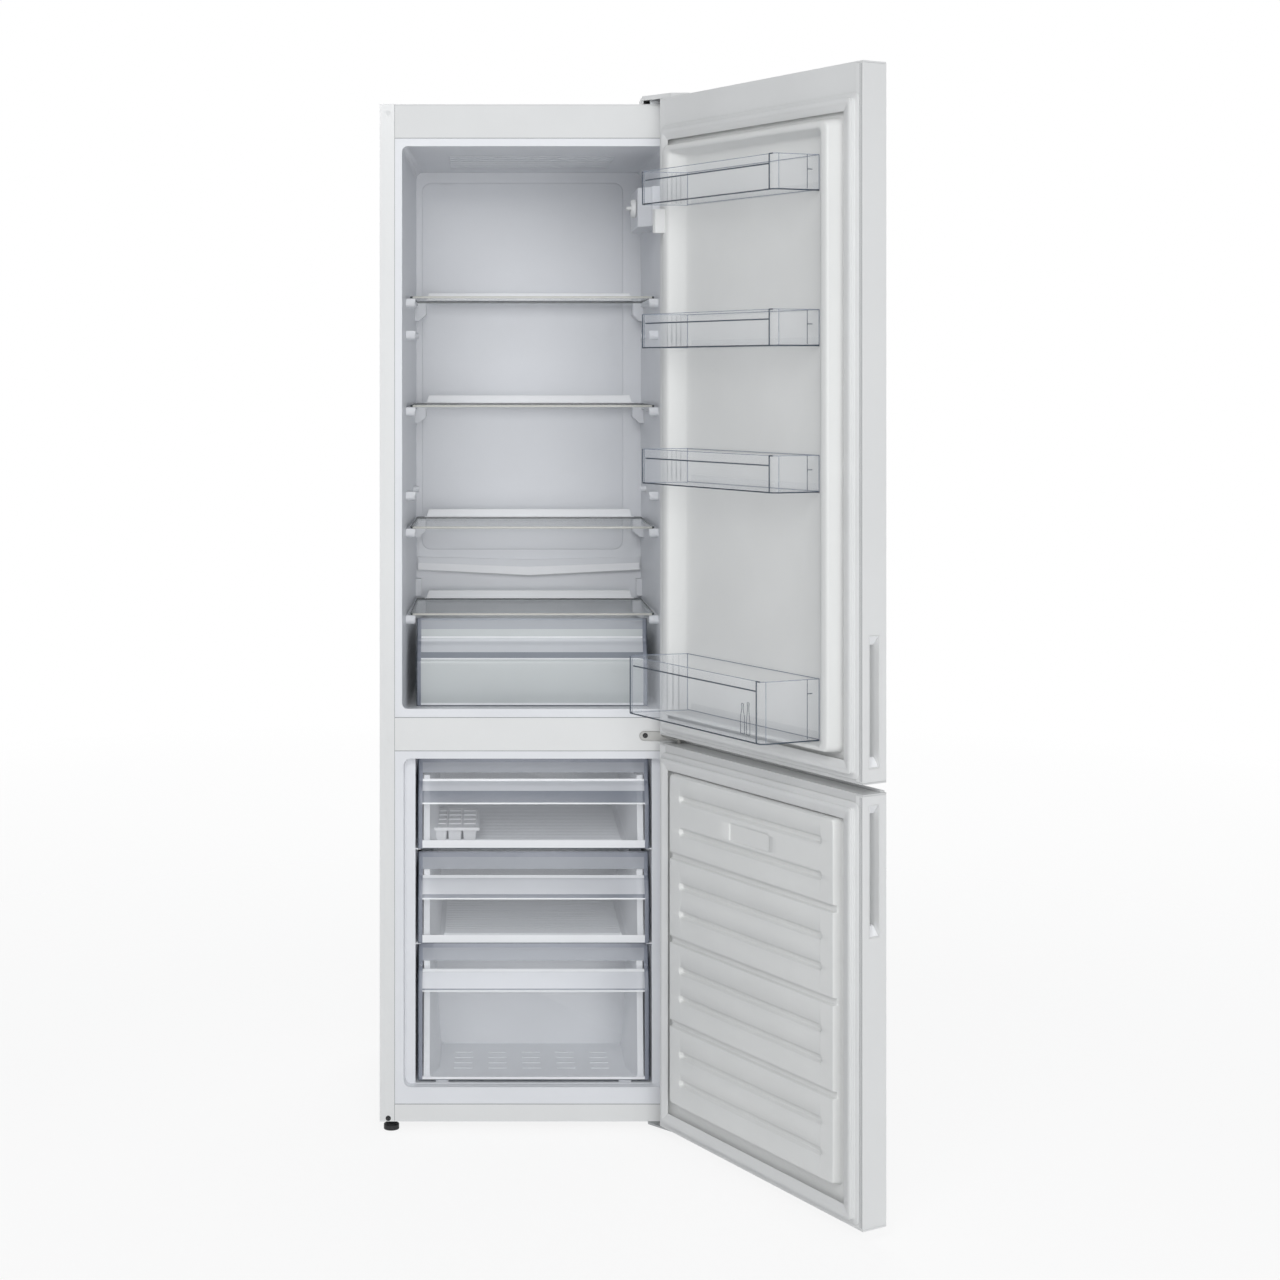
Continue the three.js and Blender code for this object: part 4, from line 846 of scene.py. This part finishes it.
# Round knobs hold the shelves in front, and mark the spare places between them.
knobShape = {"heights": (1462.9, 1266.6, 1047.5, 891, 1405, 1114), "x": 227.6, "y": 124, "drop": 8.3,
             "profile": [(8, 0), (8, 13), (7.2, 15.4), (5, 16.6), (0.01, 16.6)]}
grid = bmesh.new()
for height in knobShape["heights"]:
    for side in (-1, 1):
        spun([(radius, -side * along) for radius, along in knobShape["profile"]],
             (side * knobShape["x"], knobShape["y"], height - knobShape["drop"]), "x", 24, grid)
made("shelf_knobs", grid, "linerPlastic", angle=50)
made("lamp_lens_slots", bars([((190.2, 191), (196, 252), (1600, 1602.2))]), "lampPlastic",
     rows=[(5, (0, 0, 6))], soften=0.3)

# Thin shadow lines where the front's sheets meet.
seamShape = {"half": 0.45, "upHalf": 0.3, "y": (-0.12, 0.2), "across": (-243.4, 243.4), "up": (19, 1798),
             "levels": (1740, 725, 666.6, 47.8), "sides": (-243.9, 243.9)}
half, thin = seamShape["half"], seamShape["upHalf"]
made("frame_seams", bars(
    [(seamShape["across"], seamShape["y"], (z - half, z + half)) for z in seamShape["levels"]]
    + [((x - thin, x + thin), seamShape["y"], seamShape["up"]) for x in seamShape["sides"]]), "seamShadow")
print("liner details done")


# Heat exchanger at the back: one bent tube, straps over it and thin wires in front of it.
condenserShape = {"half": 205, "low": 300, "pitch": 80, "runs": 18, "y": 525, "tube": 2.5, "bend": 34,
                  "wires": 51, "wirePitch": 8, "wire": 0.8, "straps": (-150, 0, 150), "strapHalf": 8}


def condenser(half, low, pitch, runs, y, tube, bend, wires, wirePitch, wire, straps, strapHalf):
    high = low + pitch * (runs - 1)
    path = []
    for run in range(runs):
        side, z = 1 if run % 2 == 0 else -1, low + run * pitch
        path += [(-side * half, y, z), (side * half, y, z)]
    pipes("condenser_tube", [path], tube, bend, "blackSteel", replaced=["condenser"])
    grid = bmesh.new()
    for x in straps:
        outline = [(x - strapHalf, y + 2), (x + strapHalf, y + 2), (x + strapHalf - 0.5, y + 3.5),
                   (x - strapHalf + 0.5, y + 3.5)]
        loft([flat(outline, low - 12), flat(outline, high + 12)], grid)
    for x in (straps[0], straps[-1]):
        for z in (low + 20, (low + high) / 2, high - 20):
            bars([((x - 6, x + 6), (505.4, y + 2.2), (z - 6, z + 6)),
                  ((x - 12, x + 12), (505.3, 507), (z - 10, z + 10))], grid)
    made("condenser_straps", grid, "blackSteel", soften=0.4)
    start, tall = -wirePitch * (wires - 1) / 2, high - low
    unit = spun([(0.01, 0), (wire, 0.2), (wire, tall + 19.8), (0.01, tall + 20)],
                (start, y - tube - wire, low - 10), "z", 8)
    made("condenser_wires", unit, "blackSteel", rows=[(wires, (wirePitch, 0, 0))])


condenser(**condenserShape)

# Compressor: a welded steel pot on rubber feet, with a relay box. Profiles are pairs of radius and height.
compressorShape = {"x": -60, "y": 396, "base": 34.3, "reach": 58, "plate": 68,
                   "pot": [(0.01, 14), (50, 14), (62, 16), (70, 21), (75, 29), (77, 40), (77.4, 80),
                           (79.6, 81.6), (79.6, 88), (77.4, 90), (76.4, 124), (73, 139), (66, 151),
                           (54, 160), (38, 166.4), (20, 170), (0.01, 171.6)],
                   "foot": [(0.01, 0), (11, 0), (11, 4), (8.6, 6), (8.6, 8), (11, 10), (11, 16.6), (9, 18),
                            (0.01, 18)],
                   "bolt": [(0.01, 0), (5.4, 0), (5.4, 3.4), (4.6, 4), (0.01, 4)]}


def compressor(x, y, base, reach, plate, pot, foot, bolt):
    made("compressor_pot", spun(pot, (x, y, base), "z", 64), "blackSteel", replaced=["compressor"], angle=40)
    outline = [(x + a, b) for a, b in rounded(plate, y - plate, y + plate, 14, 5)]
    made("compressor_base", loft([flat(outline, base + 12), flat(outline, base + 14.4)]), "blackSteel",
         soften=0.5)
    corners = [(2, (2 * reach, 0, 0)), (2, (0, 2 * reach, 0))]
    made("compressor_feet", spun(foot, (x - reach, y - reach, base), "z", 24), "blackRubber", rows=corners)
    made("compressor_bolts", spun(bolt, (x - reach, y - reach, base + foot[-1][1]), "z", 6), "zincSteel",
         rows=corners)
    made("relay_box", bars([((x + 66, x + 97), (y - 26, y + 24), (base + 55, base + 115)),
                            ((x + 96, x + 100), (y - 24.6, y + 22.6), (base + 56.4, base + 113.6))]),
         "blackPlastic", soften=2, segments=3)


compressor(**compressorShape)

# Copper pipes between the compressor, the filter drier and the heat exchanger.
copperShape = {"pipe": 2.6, "bend": 16, "drier": (122, 470, 91.5), "paths": [
    [(-205, 525, 300), (-205, 525, 226), (-205, 488, 206), (100, 488, 206), (122, 470, 190), (122, 470, 160)],
    [(122, 470, 92), (122, 470, 60), (60, 470, 60), (0, 452, 90), (-20, 444, 110)],
    [(160, 430, 236), (160, 430, 160), (90, 420, 128), (40, 430, 110), (-10, 430, 105), (-24, 424, 105)],
    [(-205, 525, 1660), (-222, 525, 1660), (-222, 525, 224), (-222, 480, 190), (-190, 440, 150),
     (-128, 430, 120)]]}
pipes("copper_pipes", copperShape["paths"], copperShape["pipe"], copperShape["bend"], "copper")
made("filter_drier", spun([(0.01, 0), (3, 0), (4, 4), (8.6, 10), (8.6, 58), (4, 65), (3, 69), (0.01, 69)],
                          copperShape["drier"], "z", 32), "copper", angle=50)
print("cooling unit done")


# Rear wheels: a tyre with round shoulders on a ribbed hub, bored for its axle. Half its section, as radii
# and distances inwards from the wheel's side.
wheelShape = {"x": 236, "y": 468, "z": 15, "half": 6,
              "section": [(3.2, 0), (6.4, 0), (7, 1.6), (11.4, 1.6), (12, 0), (13.6, 0), (15, 1.6)]}
wheelProfile = [(r, deep - wheelShape["half"]) for r, deep in wheelShape["section"]]
wheelProfile += [(r, -along) for r, along in reversed(wheelProfile)]
for wheelName, side in (("left_rear_wheel", -1), ("right_rear_wheel", 1)):
    centre = (side * wheelShape["x"], wheelShape["y"], wheelShape["z"])
    made(wheelName + "_tyre", spun(wheelProfile, centre, "x", 40, looped=True), "blackRubber", wheelName,
         replaced=[wheelName], angle=35)

# Fasteners: a domed head with a cross recess, and smooth domed plugs over spare holes. Places are x, y, z.
headShape = {"dome": [(0.01, 0), (4.6, 0), (4.6, 0.9), (3.956, 1.9), (2.3, 2.6), (0.01, 2.8)],
             "cross": ((2.4, 0.6), (0.6, 2.4)), "crossDeep": (2.2, 2.86)}
screwPlaces = {"middle_hinge_screw": (195, -3.6, 694), "foot_screw": (-255, -0.3, 23)}
plugPlaces = [(-255, -0.3, 1784), (-255, -0.3, 688), (-228, -0.3, 695), (-199, -0.3, 695)]


def screwDome(place, grid=None):
    return spun([(r, -along) for r, along in headShape["dome"]], place, "y", 32, grid)


for screwName, (x, y, z) in screwPlaces.items():
    grid = screwDome((x, y, z))
    for wide, tall in headShape["cross"]:
        outline = [(x - wide, z - tall), (x + wide, z - tall), (x + wide, z + tall), (x - wide, z + tall)]
        loft([upright(outline, y - deep) for deep in headShape["crossDeep"]], grid, finish=1)
    made(screwName + "_head", grid, "blackSteel zincSteel", replaced=[screwName], angle=50)
grid = bmesh.new()
for place in plugPlaces:
    screwDome(place, grid)
made("hole_plug_caps", grid, "whitePlastic", replaced=[f"hole_plug_{index}" for index in (1, 2, 3, 4)],
     angle=50)


# Middle hinge: a plate with a round end on the crossbar, an arm between the doors and a long pin.
hingeShape = {"left": 185, "right": 262, "low": 685, "high": 701.3, "front": -0.3, "thick": 3,
              "armLow": 692.7, "armHigh": 695.7, "pinHigh": 716.2, "pinLow": 672.2,
              "arm": [(222, -0.4), (262, -0.4), (262, -43), (258, -47), (246, -47), (242, -44)]}


def middleHinge(left, right, low, high, front, thick, armLow, armHigh, pinHigh, pinLow, arm):
    radius, middle = (high - low) / 2, (high + low) / 2
    outline = [(left + radius - radius * math.sin(a), middle + radius * math.cos(a))
               for a in (math.pi * step / 12 for step in range(13))] + [(right, low), (right, high)]
    grid = loft([upright(outline, front), upright(outline, front - thick)])
    loft([flat(arm, armLow), flat(arm, armHigh)], grid)
    spun([(0.01, pinLow), (3.4, pinLow), (4, pinLow + 0.8), (4, pinHigh - 0.8), (3.4, pinHigh),
          (0.01, pinHigh)], (doorPin["x"], doorPin["y"], 0), "z", 32, grid)
    made("middle_hinge_plate", grid, "hingeSteel", replaced=["middle_hinge"], soften=0.5)


middleHinge(**hingeShape)

# Thermostat dial: a fluted disc with a raised grip across it. The profile's pairs are shares of the
# radius and the depth.
dialShape = {"x": 189, "y": 150, "z": 1628, "radius": 16.8, "deep": 9.6, "flutes": 24, "fluteDeep": 0.035,
             "profile": [(0.02, 0), (0.94, 0), (1, 0.1), (1, 0.72), (0.93, 0.92), (0.78, 1), (0.4, 0.96),
                         (0.02, 0.96)]}


def thermostatDial(x, y, z, radius, deep, flutes, fluteDeep, profile):
    rings = []
    for share, along in profile:
        ring = []
        for step in range(flutes * 4):
            angle = 2 * math.pi * step / (flutes * 4)
            wave = 1 - fluteDeep * (1 - math.cos(angle * flutes)) / 2 * (1 if share > 0.92 else 0)
            reach = radius * share * wave
            ring.append((y + reach * math.cos(angle), z + reach * math.sin(angle)))
        rings.append(cross(ring, x - deep * along))
    grid, face = loft(rings), x - deep
    outline = rounded(3.4, -14, 14, 3, 4)
    loft([cross([(y + b * tall, z + a * wide) for a, b in outline], face + out)
          for out, tall, wide in ((1, 1, 1), (-6, 0.94, 0.8), (-8, 0.82, 0.5))], grid)
    made("thermostat_dial", grid, "whitePlastic", "thermostat_knob", replaced=["thermostat_knob"], angle=35)


thermostatDial(**dialShape)
print("fittings done")


# Grip hollows in the doors' free edges end in slopes that lead the fingers in. The slopes' white is lighter
# than the grips', as painted light.
gripShape = {"mouth": -268.4, "end": -244, "front": -43.4, "back": -25.1, "slope": 14, "deep": 11,
             "length": 203, "wall": 1.6}


def gripSlopes(name, body, foot, mouth, end, front, back, slope, deep, length, wall):
    low, high = foot + wall, foot + length - wall
    grid = bmesh.new()
    for start, inner in ((low, low + slope), (high, high - slope)):
        outline = [(mouth, start), (end, start), (end, inner), (mouth + deep, inner)]
        loft([upright(outline, front), upright(outline, back)], grid)
    outline = [(end + 0.2, front + 3), (end - 3.6, front), (end + 0.2, front)]
    loft([flat(outline, low), flat(outline, high)], grid)
    made(name, grid, "brightPlastic", body, fromDoor, soften=0.6, segments=3)


gripSlopes("upper_grip_slopes", "upper_door", 725, **gripShape)
gripSlopes("lower_grip_slopes", "lower_door", 467, **gripShape)

# Painted shadow lines in the folded seams of the doors' outer skins, beside their seals.
skinSeamShadows = {"places": (-263.4, -266.6), "half": 0.4, "y": (-12.1, -11.85)}
for seamName, seamBody, ends in (("upper_skin_seams", "upper_door", (706, 1800)),
                                 ("lower_skin_seams", "lower_door", (27, 682))):
    made(seamName, bars([((x - skinSeamShadows["half"], x + skinSeamShadows["half"]), skinSeamShadows["y"], ends)
                         for x in skinSeamShadows["places"]]), "seamShadow", seamBody, fromDoor)

# A low lip along the outer edge of the lower door's top closes the view between the doors; it has the caps'
# darker white of painted shade.
made("lower_cap_lip", bars([((-268, 268), (-57, -49), (686.4, 689.6))]), "capPlastic", "lower_door", fromDoor,
     soften=1.2, segments=3)

# The machine bay's sill, and foam plugs and screws on the cabinet's back.
made("bay_sill", bars([((-268, 268), (290.4, 291.6), (33.4, 44))]), "blackSteel", soften=0.3)
foamPlug = {"profile": [(0.01, 0), (15, 0), (15, 0.7), (13.4, 1.5), (4, 1.5), (3, 0.6), (0.01, 0.6)],
            "xs": (-180, 180), "y": 505.1, "zs": (520, 1240)}
grid = bmesh.new()
for x in foamPlug["xs"]:
    for z in foamPlug["zs"]:
        spun(foamPlug["profile"], (x, foamPlug["y"], z), "y", 40, grid)
made("foam_plugs", grid, "whitePlastic", angle=40)
made("back_panel_screws", spun([(0.01, 0), (4, 0), (4, 0.8), (3.2, 1.5), (1.4, 1.8), (0.01, 1.8)],
                               (-263, 507, 262), "y", 20), "zincSteel",
     rows=[(2, (526, 0, 0)), (6, (0, 0, 300))])
print("back details done")


# Floor and light: a pale floor that fades out far from the object, and broad soft lamps.
studio = {"radius": 9, "sunk": 0.0005, "color": (250, 250, 250), "rough": 0.85, "glow": 0.85,
          "fade": (1.2, 4.5), "ambient": 0.36, "ambientColor": (0.95, 0.97, 1, 1)}
# Place, target, size and power of each lamp.
lamps = {
    "keyLamp": ((-0.8, -3.5, 2.9), (0, 0, 0.9), (2.0, 1.6), 52),
    "frontLamp": ((0.5, -4.3, 1.3), (0, 0, 0.9), (2.2, 2.0), 40),
    "lowLamp": ((1.5, -3.4, 0.5), (-0.1, 0.2, 0.8), (1.6, 1.2), 8),
    "backLamp": ((0.4, 3.4, 2.4), (0, 0, 0.9), (2.4, 2.0), 40),
}


# 1 for what the camera, a mirror or clear plastic sees directly, 0 for light that bounces.
def seenShare(tree):
    path = addNode(tree, "ShaderNodeLightPath")
    one, two = (addNode(tree, "ShaderNodeMath", operation="MAXIMUM") for _ in range(2))
    wire(tree, (path, "Is Camera Ray", one, 0), (path, "Is Glossy Ray", one, 1), (one, 0, two, 0),
         (path, "Is Transmission Ray", two, 1))
    return two


def studioFloor():
    floorMesh = bpy.data.meshes.new("studioFloor")
    grid = bmesh.new()
    bmesh.ops.create_circle(grid, cap_ends=True, segments=96, radius=studio["radius"])
    bmesh.ops.translate(grid, verts=grid.verts, vec=(0, 0, -studio["sunk"]))
    grid.to_mesh(floorMesh)
    grid.free()
    floor = placed("studioFloor", floorMesh)
    material = bpy.data.materials.new("studioFloor")
    material.use_nodes = True
    tree = material.node_tree
    shader = tree.nodes["Principled BSDF"]
    shader.inputs["Base Color"].default_value = tint(studio["color"])
    shader.inputs["Roughness"].default_value = studio["rough"]
    white = addNode(tree, "ShaderNodeEmission")
    share = addNode(tree, "ShaderNodeMath", {1: studio["glow"]}, operation="MULTIPLY")
    lit, faded = (addNode(tree, "ShaderNodeMixShader") for _ in range(2))
    clear = addNode(tree, "ShaderNodeBsdfTransparent")
    place = addNode(tree, "ShaderNodeTexCoord")
    reach = addNode(tree, "ShaderNodeVectorMath", operation="LENGTH")
    start, end = studio["fade"]
    fade = addNode(tree, "ShaderNodeMapRange", {"From Min": start, "From Max": end})
    wire(tree, (seenShare(tree), 0, share, 0), (share, 0, lit, "Fac"), (shader, "BSDF", lit, 1),
         (white, "Emission", lit, 2), (place, "Object", reach, 0), (reach, "Value", fade, "Value"),
         (fade, "Result", faded, "Fac"), (lit, "Shader", faded, 1), (clear, "BSDF", faded, 2),
         (faded, "Shader", tree.nodes["Material Output"], "Surface"))
    floorMesh.materials.append(material)


def softLamp(name, place, target, size, power):
    lampData = bpy.data.lights.new(name, "AREA")
    lampData.shape = "RECTANGLE"
    lampData.size, lampData.size_y = size
    lampData.energy = power
    lamp = placed(name, lampData)
    lamp.location = place
    lamp.rotation_euler = (Vector(target) - Vector(place)).to_track_quat("-Z", "Y").to_euler()


def whiteRoom():
    world = bpy.data.worlds.new("whiteRoom")
    bpy.context.scene.world = world
    world.use_nodes = True
    tree = world.node_tree
    tree.nodes.clear()
    seen = addNode(tree, "ShaderNodeBackground", {"Color": (1, 1, 1, 1)})
    unseen = addNode(tree, "ShaderNodeBackground",
                     {"Color": studio["ambientColor"], "Strength": studio["ambient"]})
    mix = addNode(tree, "ShaderNodeMixShader")
    out = addNode(tree, "ShaderNodeOutputWorld")
    wire(tree, (seenShare(tree), 0, mix, "Fac"), (unseen, "Background", mix, 1), (seen, "Background", mix, 2),
         (mix, "Shader", out, "Surface"))


studioFloor()
whiteRoom()
for lampName, lampValues in lamps.items():
    softLamp(lampName, *lampValues)
bpy.context.scene.view_settings.view_transform = "Standard"
print("studio done")
